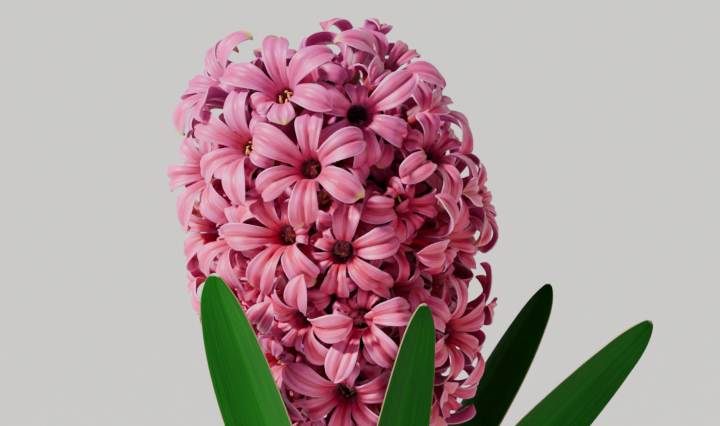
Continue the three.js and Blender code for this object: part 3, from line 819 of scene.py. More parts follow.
def in_scene(name: str, mesh: bpy.types.Mesh) -> Piece:
    """Puts a mesh into the scene.

    Args:
        name: The object's name.
        mesh: Its mesh.

    Returns:
        The object, at the origin.
    """
    made = bpy.data.objects.new(name, mesh)
    bpy.context.scene.collection.objects.link(made)
    return made


def settled(piece: Piece) -> Piece:
    """Applies a piece's modifiers.

    Args:
        piece: An object with live modifiers.

    Returns:
        The same object, with a plain mesh.
    """
    graph = bpy.context.evaluated_depsgraph_get()
    plain = bpy.data.meshes.new_from_object(piece.evaluated_get(graph), depsgraph=graph)
    piece.modifiers.clear()
    piece.data = plain
    plain.name = piece.name
    return piece


def fitted(piece: Piece, slot: str, *nodes: str) -> Piece:
    """Declares a finished piece to the frame, and reports it.

    Args:
        piece: The piece.
        slot: The record's slot that it takes its finish from.
        nodes: The solids that it stands for.

    Returns:
        slot: The record's slot for its finish. Not used.
    """
    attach(piece, BODY)
    if nodes:
        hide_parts(*nodes)
    stands = f" for {', '.join(nodes)}" if nodes else ""
    LOG.info("%s: %d faces%s", piece.name, len(piece.data.polygons), stands)
    return piece


def curve_through(stations: Grid, values: Grid, at: Grid) -> Grid:
    """A smooth curve through given values.

    Args:
        stations: Where the values lie, rising.
        values: One row for each station.
        at: Where to read the curve.

    Returns:
        One row for each place in at.
    """
    step = np.diff(stations)[:, None]
    secant = np.diff(values, axis=0) / step
    slope = np.empty_like(values)
    slope[1:-1] = (step[1:] * secant[:-1] + step[:-1] * secant[1:]) / (step[1:] + step[:-1])
    slope[0] = 2 * secant[0] - slope[1]
    slope[-1] = 2 * secant[-1] - slope[-2]
    i = np.clip(np.searchsorted(stations, at, side="right") - 1, 0, len(step) - 1)
    u = ((at - stations[i]) / step[i, 0])[:, None]
    start = (1 + 2 * u) * (1 - u) ** 2 * values[i] + u * (1 - u) ** 2 * step[i] * slope[i]
    return start + u**2 * (3 - 2 * u) * values[i + 1] + u**2 * (u - 1) * step[i] * slope[i + 1]


def bezier(start: Grid, leaving: Grid, arriving: Grid, end: Grid, at: Grid) -> Grid:
    """Points of a cubic curve.

    Args:
        start: Its first point.
        leaving: What it heads for at first.
        arriving: What it comes from at last.
        end: Its last point.
        at: The places along it, from 0 to 1.

    Returns:
        The point at each place.
    """
    u = at[:, None]
    v = 1 - u
    return v**3 * start + 3 * v**2 * u * leaving + 3 * v * u**2 * arriving + u**3 * end


def smooth(value: Grid, low: float, high: float) -> Grid:
    """A soft step from 0 at low to 1 at high."""
    share = np.clip((np.asarray(value, float) - low) / (high - low), 0, 1)
    return share * share * (3 - 2 * share)


def ridge(value: Grid, middle: float, width: float) -> Grid:
    """A soft ridge of height 1."""
    return np.exp(-(((value - middle) / width) ** 2))


def unit(vectors: Grid) -> Grid:
    """Vectors brought to a length of 1."""
    return vectors / np.linalg.norm(vectors, axis=-1, keepdims=True)


def circle(side: Grid, other: Grid, angles: Grid) -> Grid:
    """The directions at angles from one side towards the other."""
    return np.cos(angles)[..., None] * side + np.sin(angles)[..., None] * other


def named(start: str) -> list[str]:
    """The solids whose names start so, in order."""
    return sorted(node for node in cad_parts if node.startswith(start))


# ---- Reading the solids ----


@dataclass(frozen=True)
class Section:
    """A cross-section of a blade. All but the middle are vectors from it."""

    middle: Grid
    half: Grid  # half the way from the left edge to the right one
    rise: Grid  # to the level of the edges
    depth: Grid  # to the middle of the inner face

    def placed(self, origin: Grid, size: float) -> "Section":
        """The same section at another size, seen from another origin."""
        return Section(origin + self.middle * size, self.half * size, self.rise * size, self.depth * size)


class Net:
    """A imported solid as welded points, with the points that each is joined to."""

    def __init__(self, node: str) -> None:
        """Reads a solid.

        Args:
            node: Its name.
        """
        welded = bmesh.new()
        welded.from_mesh(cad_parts[node].data)
        bmesh.ops.remove_doubles(welded, verts=welded.verts, dist=WELD)
        welded.verts.index_update()
        self.points = np.array([vert.co for vert in welded.verts])
        self.joined = [[edge.other_vert(vert).index for edge in vert.link_edges] for vert in welded.verts]
        self.fans = [len(vert.link_faces) for vert in welded.verts]
        welded.free()

    def layers(self, start: int) -> list[list[int]]:
        """Sorts points by how many edges away they are.

        Args:
            start: The point to start from.

        Returns:
            The layers, the start's own first.
        """
        seen = {start}
        found = [[start]]
        while found[-1]:
            ring = {other for point in found[-1] for other in self.joined[point]} - seen
            seen |= ring
            found.append(sorted(ring))
        return found[:-1]

    def section(self, ring: Sequence[int], rightwards: Grid) -> Section:
        """Reads a cross-section. Its edges are its two furthest points, and rise towards the inner face.

        Args:
            ring: The points of the section.
            rightwards: A vector that roughly points to its right edge.

        Returns:
            The section.
        """
        points = self.points[list(ring)]
        gaps = np.linalg.norm(points[:, None] - points[None], axis=2)
        a, b = np.unravel_index(gaps.argmax(), gaps.shape)
        if (points[a] - points[b]) @ rightwards < 0:
            a, b = b, a
        right, left = points[a], points[b]
        rest = [i for i in range(len(points)) if i not in (a, b)]
        rest.sort(key=lambda i: abs(gaps[i, a] - gaps[i, b]))
        first, second = points[rest[0]], points[rest[1]]
        middle = (first + second) / 2
        rise = (right + left) / 2 - middle
        inner = first if (first - middle) @ rise > 0 else second
        return Section(middle, (right - left) / 2, rise, inner - middle)


@dataclass(frozen=True)
class Line:
    """A blade from its root to its tip, as the solid has it."""

    sections: tuple[Section, ...]
    tip: Grid

    @staticmethod
    def read(net: Net, rings: Iterable[Sequence[int]], tip: int, rightwards: Grid) -> "Line":
        """Reads a blade from the rings of points round it.

        Args:
            net: The solid.
            rings: The rings, from the root on.
            tip: The point at the tip.
            rightwards: A vector to the right at the root.

        Returns:
            The blade's line.
        """
        sections = []
        for ring in rings:
            sections.append(net.section(ring, rightwards))
            rightwards = sections[-1].half
        return Line(tuple(sections), net.points[tip])

    def stations(self) -> Grid:
        """How far along each section and the tip lie, from 0 to 1."""
        middles = np.array([section.middle for section in self.sections] + [self.tip])
        gone = np.cumsum(np.linalg.norm(np.diff(middles, axis=0), axis=1))
        return np.concatenate([[0.0], gone]) / gone[-1]


# ---- Blades ----


@dataclass
class Blade:
    """Draws a fine blade through a line's sections. Its two faces share their edges."""

    columns: int
    rows: int
    channel: float  # 1 is a sharp fold down the middle, 2 is a round channel
    fullness: float  # how far its thickness holds towards the edges

    def spread(self, along: Grid) -> Grid:
        """How its width closes towards the tip, as a share."""
        raise NotImplementedError

    def girth(self, along: Grid) -> Grid:
        """How much wider it is than its solid."""
        return np.ones_like(along)

    def relief(self, across: Grid, along: Grid, inner: bool) -> Grid:
        """How far its surface stands out of a plain channel, in metres."""
        raise NotImplementedError

    def across(self) -> Grid:
        """The places of the columns, from -1 to 1, closer together at the edges."""
        return np.sin(np.linspace(-1, 1, self.columns + 1) * math.pi / 2)

    def along(self) -> Grid:
        """The places of the rows, from 0 to just short of the tip, closer together there."""
        share = np.arange(self.rows) / self.rows
        return 1 - (1 - share) ** 1.25

    def faces(self, line: Line) -> tuple[Grid, Grid]:
        """Draws the inner and the outer face.

        Args:
            line: The line to follow.

        Returns:
            The points of both faces, in rows from the root.
        """
        at = line.stations()
        along = self.along()
        across = self.across()[None, :, None]

        def drawn(name: str, closing: float, past: float) -> Grid:
            """Follows one of the section's vectors along the blade.

            Args:
                name: The vector.
                closing: How its length goes with the blade's closing at the tip.
                past: Its length at the tip, as a share of the last section's.

            Returns:
                The vector at each row.
            """
            vectors = np.array([getattr(section, name) for section in line.sections])
            vectors = vectors / self.spread(at[:-1])[:, None] ** closing
            vectors = np.concatenate([vectors, vectors[-1:] * past])
            return curve_through(at, vectors, along) * self.spread(along)[:, None] ** closing

        middles = np.array([section.middle for section in line.sections] + [line.tip])
        middle = curve_through(at, middles, along)[:, None]
        half = (drawn("half", 1.0, 0.9) * self.girth(along)[:, None])[:, None]
        rise = drawn("rise", 1.0, 0.9)[:, None]
        depth = drawn("depth", 0.5, 0.8)[:, None]
        lens = (1 - np.abs(across) ** self.fullness) ** 0.5
        plain = middle + across * half + rise * np.abs(across) ** self.channel
        places = self.across()[None, :], along[:, None]
        upper = plain + depth * lens + unit(depth) * self.relief(*places, True)[..., None]
        lower = plain - depth * lens + unit(depth) * self.relief(*places, False)[..., None]
        return upper, lower


@dataclass
class TepalBlade(Blade):
    """A fleshy tepal with a groove down its face, a rib down its back, and waved edges that curl back."""

    columns: int = 16
    rows: int = 26
    channel: float = 1.45
    fullness: float = 3.2
    groove: float = 0.5 * MM
    groove_width: float = 0.15  # a share of half the tepal's width, as are the next two
    rib: float = 0.42 * MM
    rib_width: float = 0.2
    fold: float = 0.2 * MM
    crease_width: float = 0.12
    wave: float = 0.5 * MM
    wave_turns: float = 9.0  # radians of wave along the tepal
    curl: float = 0.75 * MM  # how far the edges turn back past the middle of its length
    hood: float = 0.6 * MM
    most_lean: float = 1.1 * MM
    # Its width as a share of the solid's, at these shares of its length.
    waist: Rows = ((0, 1), (0.13, 0.84), (0.3, 0.9), (0.55, 1.02), (0.8, 1.03), (1, 1))
    # What differs from tepal to tepal: where its waves start, how far it leans over, and where its crease is.
    phase: float = 0.0
    lean: float = 0.0
    crease: float = 0.4

    def vary(self, draw: Draw) -> None:
        """Draws what differs from tepal to tepal.

        Args:
            draw: The random draws.
        """
        self.phase = draw.uniform(0, math.tau)
        self.lean = draw.uniform(-self.most_lean, self.most_lean)
        self.crease = draw.choice((-1, 1)) * draw.uniform(0.3, 0.6)

    def spread(self, along: Grid) -> Grid:
        """How its width closes towards the tip, as a share."""
        return np.maximum(1 - np.asarray(along) ** 4.5, 1e-4) ** 0.72

    def girth(self, along: Grid) -> Grid:
        """How much wider it is than its solid."""
        at, width = np.array(self.waist).T
        return curve_through(at, width[:, None], along)[:, 0]

    def relief(self, across: Grid, along: Grid, inner: bool) -> Grid:
        """How far its surface stands out of a plain channel, in metres.

        Args:
            across: From -1 to 1.
            along: From 0 to 1.
            inner: Whether it is the inner face.

        Returns:
            The height towards the inner side, at each place.
        """
        free = smooth(along, 0.02, 0.25)
        ending = smooth(along, 0.8, 1.0)
        wide = np.abs(across)
        waves = np.sin(along * self.wave_turns + self.phase + np.sign(across) * 1.3) * wide**3 * self.wave
        leaning = across * wide * self.lean * smooth(along, 0.1, 0.7)
        curled = wide**2.5 * self.curl * smooth(along, 0.3, 0.6) * (1 - smooth(along, 0.75, 0.95))
        creased = ridge(across, self.crease, self.crease_width) * self.fold * 2 * smooth(along, 0.2, 0.5)
        hooded = ending * self.hood * (wide**1.5 - 0.4)
        height = free * waves + leaning - curled + creased * (1 - ending) + hooded
        if inner:
            folds = np.cos(wide * 3 * math.pi) * self.fold * (1 - wide**4)
            return height - free * (ridge(across, 0, self.groove_width) * self.groove + folds) * (1 - ending)
        rib = ridge(across, 0, self.rib_width) * self.rib * (1 - 0.6 * along)
        return height - rib * smooth(along, 0, 0.1)


@dataclass
class LeafBlade(Blade):
    """A stout strap leaf, with parallel veins that barely stand up and a hooded, blunt tip."""

    columns: int = 36
    rows: int = 72
    channel: float = 1.7
    fullness: float = 7.0
    widest: float = 0.55
    veins: int = 11
    vein: float = 0.05 * MM
    keel: float = 0.25 * MM
    keel_width: float = 0.08  # a share of half the leaf's width
    sway: float = 0.5 * MM
    sway_turns: float = 11.0  # radians of sway along the leaf

    def spread(self, along: Grid) -> Grid:
        """How its width closes towards the tip, as a share."""
        past = np.clip((np.asarray(along) - self.widest) / (1 - self.widest), 0, 0.9999)
        return (1 - past**2.2) ** 0.5

    def relief(self, across: Grid, along: Grid, inner: bool) -> Grid:
        """How far its surface stands out of a plain channel, in metres.

        Args:
            across: From -1 to 1.
            along: From 0 to 1.
            inner: Whether it is the upper face.

        Returns:
            The height towards the upper side, at each place.
        """
        wide = np.abs(across)
        ribs = np.cos(across * self.veins * math.pi) * self.vein * (1 - wide**6)
        sway = np.sin(along * self.sway_turns + np.sign(across) * 0.8) * wide**2 * self.sway
        keel = ridge(across, 0, self.keel_width) * self.keel
        return sway * smooth(along, 0.1, 0.4) + (ribs if inner else -ribs) - keel


def add_blade(
    shell: Shell, blade: Blade, line: Line, roots: tuple[Grid, Grid] | None = None
) -> tuple[Grid, Grid]:
    """Adds a blade's two faces and its tip to a skin, open at the root.

    Args:
        shell: The skin.
        blade: How it is drawn.
        line: The line that it follows.
        roots: The left and the right edge's first points, where the skin has them already.

    Returns:
        The numbers of the root's inner and outer points, edges included.
    """
    upper, lower = blade.faces(line)
    across, along = blade.across(), blade.along()
    edges = (upper[:, [0, -1]] + lower[:, [0, -1]]) / 2
    borders = shell.add(edges)
    if roots:
        borders[0] = roots
    faces = []
    for points in (upper, lower):
        numbers = np.empty(points.shape[:2], int)
        numbers[:, 1:-1] = shell.add(points[:, 1:-1])
        numbers[:, [0, -1]] = borders
        faces.append(numbers)
    inner, outer = faces
    tip = int(shell.add(line.tip[None])[0])
    shell.sheet(inner[:, ::-1], across[::-1], along, 1.0)
    shell.fan(inner[-1, ::-1], across[::-1], along[-1], tip, 1.0, 1.0)
    shell.sheet(outer, across, along, 0.0)
    shell.fan(outer[-1], across, along[-1], tip, 1.0, 0.0)
    return inner[0], outer[0]


# ---- Florets ----


@dataclass(frozen=True)
class FloretForm:
    """Where a floret's solid has its foot, its mouth and its six tepals, in turn about the mouth's axis."""

    foot: Grid
    mouth: Grid
    axis: Grid
    tepals: tuple[Line, ...]
    size: float = 1.0
    elbow: float = 7 * MM  # how deep under the mouth the tube bends, at size 1

    @staticmethod
    def read(node: str) -> "FloretForm":
        """Reads a floret. Its throat alone has twelve faces round it, its tips alone four, and its foot six.

        Args:
            node: The solid's name.

        Returns:
            The form.
        """
        net = Net(node)
        throat = max(range(len(net.fans)), key=lambda i: net.fans[i])
        foot = next(i for i in net.layers(throat)[-1] if net.fans[i] == 6)
        tips = [i for i, fan in enumerate(net.fans) if fan == 4]
        blades = [net.layers(tip)[4:0:-1] for tip in tips]
        starts = np.array([net.points[rings[0]].mean(axis=0) for rings in blades])
        axis = unit(starts.mean(axis=0) - net.points[throat])
        lines = [
            Line.read(net, rings, tip, np.cross(axis, start - starts.mean(axis=0)))
            for rings, tip, start in zip(blades, tips, starts, strict=True)
        ]
        mouth = np.mean([line.sections[0].middle for line in lines], axis=0)
        start = unit(lines[0].sections[0].middle - mouth)
        beside = np.cross(axis, start)

        def bearing(line: Line) -> float:
            """The line's bearing about the axis, counted from the first line's."""
            arm = line.sections[0].middle - mouth
            return math.atan2(arm @ beside, arm @ start) % math.tau

        lines.sort(key=lambda line: round(bearing(line), 3) % round(math.tau, 3))
        return FloretForm(net.points[foot], mouth, axis, tuple(lines))

    def knee(self) -> Grid:
        """The point at which the tube bends."""
        return self.mouth - self.axis * self.elbow * self.size

    def aim(self) -> Grid:
        """The way the tube points at its foot."""
        return unit(self.knee() - self.foot)


@dataclass(frozen=True)
class LateForm:
    """Makes the form of a small, tightly rolled floret, whose tepals arch back towards its tube."""

    tube: float = 13 * MM
    notch: float = 4.0 * MM
    lip: float = 3.1 * MM
    cup: float = 0.4 * MM  # how far the notches stand above the lip
    length: float = 14.5 * MM
    width: float = 6.6 * MM
    thickness: float = 0.8 * MM
    channel: float = 0.9 * MM
    sweep: Span = (14.0, 235.0)  # degrees from the axis, at a tepal's root and at its tip
    gather: float = 1.3  # above 1, a tepal rolls more towards its tip
    rolls: Span = (0.8, 1.05)  # shares of the sweep
    stray: float = 0.45  # how far the mouth turns off the tube's way
    nod: Span = (-0.6, 0.3)
    steps: int = 48
    # Sections as shares of a tepal's length, with the width there.
    sections: Rows = ((0.29, 0.84), (0.54, 1.0), (0.83, 0.76))

    def form(self, root: Grid, mouth: Grid, size: float, draw: Draw) -> FloretForm:
        """Makes one floret's form.

        Args:
            root: The point of the stem that it grows from.
            mouth: The middle of its mouth.
            size: Its size, where a full-grown floret's is 1.
            draw: The source of chance.

        Returns:
            The form.
        """
        aim = unit(mouth - root)
        strays = [draw.uniform(-self.stray, self.stray), draw.uniform(-self.stray, self.stray)]
        axis = unit(aim + np.array([*strays, draw.uniform(*self.nod)]))
        side = unit(np.cross(axis, (0.2, 0.3, 0.93)))
        turn = draw.uniform(0, math.tau)
        lines = []
        for i in range(TEPALS):
            radial = circle(side, np.cross(axis, side), np.array(turn + i * math.tau / TEPALS))
            lines.append(self.line(mouth, axis, radial, size, draw.uniform(*self.rolls)))
        return FloretForm(mouth - aim * self.tube * size, mouth, axis, tuple(lines), size)

    def line(self, mouth: Grid, axis: Grid, radial: Grid, size: float, roll: float) -> Line:
        """Makes the line of one tepal.

        Args:
            mouth: The middle of the mouth.
            axis: The floret's axis.
            radial: The way that the tepal stands in.
            size: The floret's size.
            roll: How tightly it is rolled, as a share of the sweep.

        Returns:
            The line.
        """
        beside = np.cross(axis, radial)
        ring = (self.notch + self.lip) / 2
        rise = radial * (self.notch * math.cos(math.pi / TEPALS) - ring) + axis * self.cup
        root = Section(radial * ring, beside * self.notch / 2, rise, -radial * (self.notch - self.lip) / 2)
        shares = np.linspace(0, 1, self.steps + 1)
        angles = np.radians(self.sweep[0] + (self.sweep[1] - self.sweep[0]) * roll * shares**self.gather)
        path = root.middle + np.cumsum(circle(axis, radial, angles), axis=0) * self.length / len(shares)
        inwards = circle(-radial, axis, angles)
        sections = [root.placed(mouth, size)]
        for share, width in self.sections:
            i = round(share * self.steps)
            half = beside * self.width / 2 * width
            cut = Section(path[i], half, inwards[i] * self.channel * width, inwards[i] * self.thickness / 2)
            sections.append(cut.placed(mouth, size))
        return Line(tuple(sections), mouth + path[-1] * size)


class Anthers(Enum):
    """How ripe a floret's anthers are."""

    CLOSED = 0.0
    SPLITTING = 0.45
    OPEN = 1.0


@dataclass
class FlowerHead:
    """The florets, each a ribbed tube that swells over the ovary and splits into six tepals."""

    blade: TepalBlade = field(default_factory=TepalBlade)
    # The tube's outside as shares of its length, with the radius there.
    tube: Rows = (
        (0.0, 1.3 * MM), (0.05, 2.1 * MM), (0.12, 2.9 * MM), (0.22, 3.3 * MM), (0.36, 3.1 * MM),
        (0.53, 2.75 * MM), (0.72, 2.95 * MM), (0.88, 3.5 * MM), (1.0, 4.1 * MM),
    )
    # The throat's inside as depths under the mouth, with the radius there.
    throat: Rows = (
        (0.0, 3.3 * MM), (0.9 * MM, 3.0 * MM), (2.2 * MM, 2.7 * MM), (4.2 * MM, 2.35 * MM),
        (6.4 * MM, 2.0 * MM), (8.0 * MM, 1.5 * MM),
    )
    throat_floor: float = 8.6 * MM
    tube_rows: int = 15
    straight: float = 8 * MM  # how far up the tube its own direction holds
    groove: float = 0.09  # how deep the seams between the tube's ribs are, as a share of its radius
    # A floret's tints are its redness, its paleness, and how green and how coral its tips may be. For each:
    # its value at the head's middle, the change per metre to the right and upwards, and how far it strays.
    # The rise in redness and the fall in paleness to the right are painted shade on the side away from the
    # key light, and painted light on the lit left.
    leanings_and_painted_light: Rows = ((0.22, 9, 0, 0.14), (0.28, -7, -5, 0.2), (0.5, -8, 5, 0), (0.1, 10, 0, 0))
    own_strays: Span = (0.14, 0.18)  # how far a tepal strays in redness and in paleness
    dark_share: float = 0.26  # of the florets have a violet-black throat
    dark: Span = (0.6, 1.0)
    clear: Span = (0.0, 0.3)
    anther_ring: float = 1.75 * MM
    anther_sink: float = 1.9 * MM
    anther_length: float = 2.9 * MM
    anther_width: float = 0.8 * MM
    ring_strays: Span = (0.75, 1.15)  # shares of the anthers' ring
    sink_strays: Span = (0.5, 1.3)
    inwards: Span = (0.2, 1.2)  # how far an anther leans in over the throat
    aside: float = 0.6  # how far it may lean to a side
    ripe_stray: float = 0.1
    anthers: list[tuple[Grid, Grid, float]] = field(default_factory=list)

    def build(self, forms: dict[str, FloretForm]) -> None:
        """Builds every floret over its solid, then all their anthers.

        Args:
            forms: The form of each floret, by its solid's name.
        """
        petals = TepalFinish().material()
        draw = random.Random(SEED)
        for name, form in forms.items():
            shell = Shell()
            self.add_floret(shell, form, draw)
            fitted(shell.piece(f"{name}_bloom", petals), "tepal_pink", name)
        self.build_anthers("anthers")

    def tints(self, form: FloretForm, draw: Draw) -> tuple[float, ...]:
        """The floret's tints: its own, with painted shade towards the head's right and painted light towards
        its left.

        Args:
            form: The floret.
            draw: The source of chance.

        Returns:
            Its redness, its paleness, how green and how coral its tips may be, and how dark its throat is.
        """
        x, _, z = form.mouth - np.array([0.0, 0.0, HEAD_MIDDLE])
        found = []
        for middle, across, up, stray in self.leanings_and_painted_light:
            own = draw.uniform(-stray, stray) if stray else 0.0
            found.append(middle + across * x + up * z + own)
        found.append(draw.uniform(*(self.dark if draw.random() < self.dark_share else self.clear)))
        return tuple(float(np.clip(value, 0, 1)) for value in found)

    def add_floret(self, shell: Shell, form: FloretForm, draw: Draw) -> None:
        """Adds one floret to a skin.

        Args:
            shell: The skin.
            form: The floret's form.
            draw: The source of chance.
        """
        # flush and pale carry painted shade and painted light across the head as well as the floret's own
        # tint.
        flush, pale, green, coral, dark = self.tints(form, draw)
        red_stray, pale_stray = self.own_strays
        notches = shell.add(np.array([self.notch(form, i) for i in range(TEPALS)]))
        inner_ring, outer_ring = [], []
        for i, line in enumerate(form.tepals):
            tip = draw.choice((0, 0, green, green, -coral, -coral))
            red = flush + draw.uniform(-red_stray, red_stray)
            light = pale + draw.uniform(-pale_stray, pale_stray)
            shell.mood = (*np.clip([red, light], 0, 1), tip, dark)
            self.blade.vary(draw)
            inner, outer = add_blade(shell, self.blade, line, (notches[i - 1], notches[i]))
            inner_ring.append(inner[:-1])
            outer_ring.append(outer[:-1])
        shell.mood = (flush, pale, 0.0, dark)
        self.add_tube(shell, form, np.concatenate(outer_ring))
        self.add_throat(shell, form, np.concatenate(inner_ring))
        self.seat_anthers(form, draw)

    @staticmethod
    def notch(form: FloretForm, i: int) -> Grid:
        """The point between a tepal and the next, at the mouth."""
        section = form.tepals[i].sections[0]
        return section.middle + section.half + section.rise

    def rays(self, form: FloretForm, across: Grid) -> Grid:
        """The directions of places across each tepal, as seen from the axis.

        Args:
            form: The floret.
            across: The same places on each tepal, from -1 to 1.

        Returns:
            A unit vector for each place on each tepal in turn.
        """
        start = form.tepals[0].sections[0].middle - form.mouth
        start = unit(start - form.axis * (start @ form.axis))
        angles = ((np.arange(TEPALS)[:, None] + across / 2) * math.tau / TEPALS).ravel()
        return circle(start, np.cross(form.axis, start), angles)

    def add_tube(self, shell: Shell, form: FloretForm, mouth: Grid) -> None:
        """Adds the tube's outside, from its foot to the roots of the tepals.

        Args:
            shell: The floret's skin.
            form: Its form.
            mouth: The numbers of the points at the roots.
        """
        across = self.blade.across()[:-1]
        shares = np.linspace(0, 1, self.tube_rows + 1)[1:-1]
        stations, radii = np.array(self.tube).T
        radius = curve_through(stations, radii[:, None] * form.size, shares)
        fading = (1 - smooth(shares, 0.8, 1.0))[:, None]
        seam = 1 - self.groove * np.abs(np.tile(across, TEPALS)) ** 3 * fading
        leaving = form.foot + form.aim() * self.straight * form.size
        middle = bezier(form.foot, leaving, form.knee(), form.mouth, shares)[:, None]
        straight = unit(middle - form.foot)
        way = unit(straight + (form.axis - straight) * (shares**2)[:, None, None])
        rays = self.rays(form, across)[None]
        rays = unit(rays - way * (rays * way).sum(axis=2, keepdims=True))
        rings = middle + rays * (radius * seam)[..., None]
        numbers = np.concatenate([shell.add(rings), mouth[None]])
        self.sheet_round(shell, numbers, np.append(shares - 1, 0.0), form.foot, outside=True)

    def add_throat(self, shell: Shell, form: FloretForm, mouth: Grid) -> None:
        """Adds the throat's inside, down from the roots of the tepals.

        Args:
            shell: The floret's skin.
            form: Its form.
            mouth: The numbers of the points at the roots.
        """
        depths, radii = np.array(self.throat[1:]).T * form.size
        arms = self.rays(form, self.blade.across()[:-1]) * radii[:, None, None]
        rings = form.mouth + arms - form.axis * depths[:, None, None]
        numbers = np.concatenate([mouth[None], shell.add(rings)])
        floor = self.throat_floor * form.size
        places = -np.append(0.0, depths) / floor
        self.sheet_round(shell, numbers, places, form.mouth - form.axis * floor, outside=False)

    def sheet_round(self, shell: Shell, numbers: Grid, along: Grid, pole: Grid, outside: bool) -> None:
        """Adds a sheet that goes round the tube, in strips as wide as a tepal, and closes its deep end.

        Args:
            shell: The skin.
            numbers: The points, in rows that go round once.
            along: The place of each row.
            pole: The point that the deep end closes to.
            outside: Whether it is the tube's outside, whose first row is the deep one.
        """
        columns = self.blade.columns
        across = self.blade.across()
        side = 0.0 if outside else 1.0
        closed = np.concatenate([numbers, numbers[:, :1]], axis=1)
        for i in range(TEPALS):
            shell.sheet(closed[:, i * columns:(i + 1) * columns + 1], across, along, side)
        deep = int(shell.add(pole[None])[0])
        around = np.append(np.tile(across[:-1], TEPALS), 1.0)
        if outside:
            shell.fan(closed[0, ::-1], around[::-1], along[0], deep, -1.0, side)
        else:
            shell.fan(closed[-1], around, along[-1], deep, -1.0, side)

    def seat_anthers(self, form: FloretForm, draw: Draw) -> None:
        """Notes where the floret's anthers sit and how ripe they are.

        Args:
            form: The floret.
            draw: The source of chance.
        """
        state = draw.choice([Anthers.CLOSED, Anthers.CLOSED, Anthers.SPLITTING, Anthers.OPEN])
        for ray in self.rays(form, np.zeros(1)):
            reach = self.anther_ring * draw.uniform(*self.ring_strays) * form.size
            sink = self.anther_sink * draw.uniform(*self.sink_strays) * form.size
            seat = form.mouth - form.axis * sink + ray * reach
            aim = form.axis - ray * draw.uniform(*self.inwards)
            aim = unit(aim + np.cross(form.axis, ray) * draw.uniform(-self.aside, self.aside))
            ripe = state.value + draw.uniform(-self.ripe_stray, self.ripe_stray)
            self.anthers.append((seat, aim, ripe))

    def build_anthers(self, name: str) -> None:
        """Builds all anthers in one piece, a capsule on each seat.

        Args:
            name: The piece's name.
        """
        mesh = bpy.data.meshes.new("anther_seats")
        mesh.from_pydata([seat.tolist() for seat, _, _ in self.anthers], [], [])
        aims = mesh.attributes.new("aim", "FLOAT_VECTOR", "POINT")
        aims.data.foreach_set("vector", np.array([aim for _, aim, _ in self.anthers]).ravel())
        ripe = mesh.attributes.new("ripe", "FLOAT", "POINT")
        ripe.data.foreach_set("value", [value for _, _, value in self.anthers])
        piece = in_scene(name, mesh)
        sizes = {"Length": self.anther_length, "Width": self.anther_width}
        grow(piece, anther_tree(), {**sizes, "Seed": SEED, "Finish": AntherFinish().material()})
        fitted(settled(piece), "tepal_pink")


# ---- Geometry node trees ----


class GrowthTree(Tree):
    """A geometry node tree with named inputs, which ends in realised instances and their material."""

    def __init__(self, name: str, inputs: dict[str, str]) -> None:
        """Makes the tree's own sockets.

        Args:
            name: The tree's name.
            inputs: The kind of each named input, besides the geometry.
        """
        super().__init__(bpy.data.node_groups.new(name, "GeometryNodeTree"))
        face = self.tree.interface
        face.new_socket("Geometry", in_out="INPUT", socket_type="NodeSocketGeometry")
        face.new_socket("Geometry", in_out="OUTPUT", socket_type="NodeSocketGeometry")
        for label, kind in inputs.items():
            face.new_socket(label, in_out="INPUT", socket_type=f"NodeSocket{kind}")
        self.source = self.node("NodeGroupInput")

    def given(self, label: str) -> Socket:
        """The socket that brings in a named input."""
        return self.source.outputs[label]

    def number(self, label: str) -> Signal:
        """A named input as a number."""
        return Signal(self, self.given(label))

    def read(self, label: str, kind: str) -> Socket:
        """A named attribute of the geometry."""
        return self.node("GeometryNodeInputNamedAttribute", {"data_type": kind}, {"Name": label}).outputs[0]

    def chance(self, low: Number, high: Number, shift: int) -> Socket:
        """A random number for each copy, with a seed of its own."""
        return self.drawn("FLOAT", {"Min_001": low, "Max_001": high}, shift, "Value_001")

    def chance_vector(self, low: Sequence[float], high: Sequence[float], shift: int) -> Socket:
        """A random vector for each copy, with a seed of its own."""
        return self.drawn("FLOAT_VECTOR", {"Min": low, "Max": high}, shift, "Value")

    def drawn(self, kind: str, limits: dict[str, Any], shift: int, output: str) -> Socket:
        """A random value of a kind between limits, from the tree's seed and a shift."""
        sockets = {**limits, "Seed": self.number("Seed") + shift}
        return self.find(self.node("FunctionNodeRandomValue", {"data_type": kind}, sockets).outputs, output)

    def finish(self, points: Socket, copy: Socket, rotation: Socket, scale: Socket) -> None:
        """Ends the tree: copies on points become one mesh with the input's finish.

        Args:
            points: The points.
            copy: What stands on each.
            rotation: How it is turned.
            scale: How large it is.
        """
        sockets = {"Points": points, "Instance": copy, "Rotation": rotation, "Scale": scale}
        copies = self.node("GeometryNodeInstanceOnPoints", None, sockets)
        real = self.node("GeometryNodeRealizeInstances", None, {"Geometry": copies.outputs[0]})
        round_off = self.node("GeometryNodeSetShadeSmooth", None, {"Geometry": real.outputs[0]})
        sockets = {"Geometry": round_off.outputs[0], "Material": self.given("Finish")}
        dressed = self.node("GeometryNodeSetMaterial", None, sockets)
        self.node("NodeGroupOutput", None, {"Geometry": dressed.outputs[0]})


def grow(piece: Piece, tree: GrowthTree, inputs: dict[str, Any]) -> None:
    """Puts a growth tree on a piece.

    Args:
        piece: The piece that it grows on.
        tree: The tree.
        inputs: A value for each of its named inputs.
    """
    modifier = piece.modifiers.new(tree.tree.name, "NODES")
    modifier.node_group = tree.tree
    for item in tree.tree.interface.items_tree:
        if item.item_type == "SOCKET" and item.in_out == "INPUT" and item.name in inputs:
            modifier[item.identifier] = inputs[item.name]


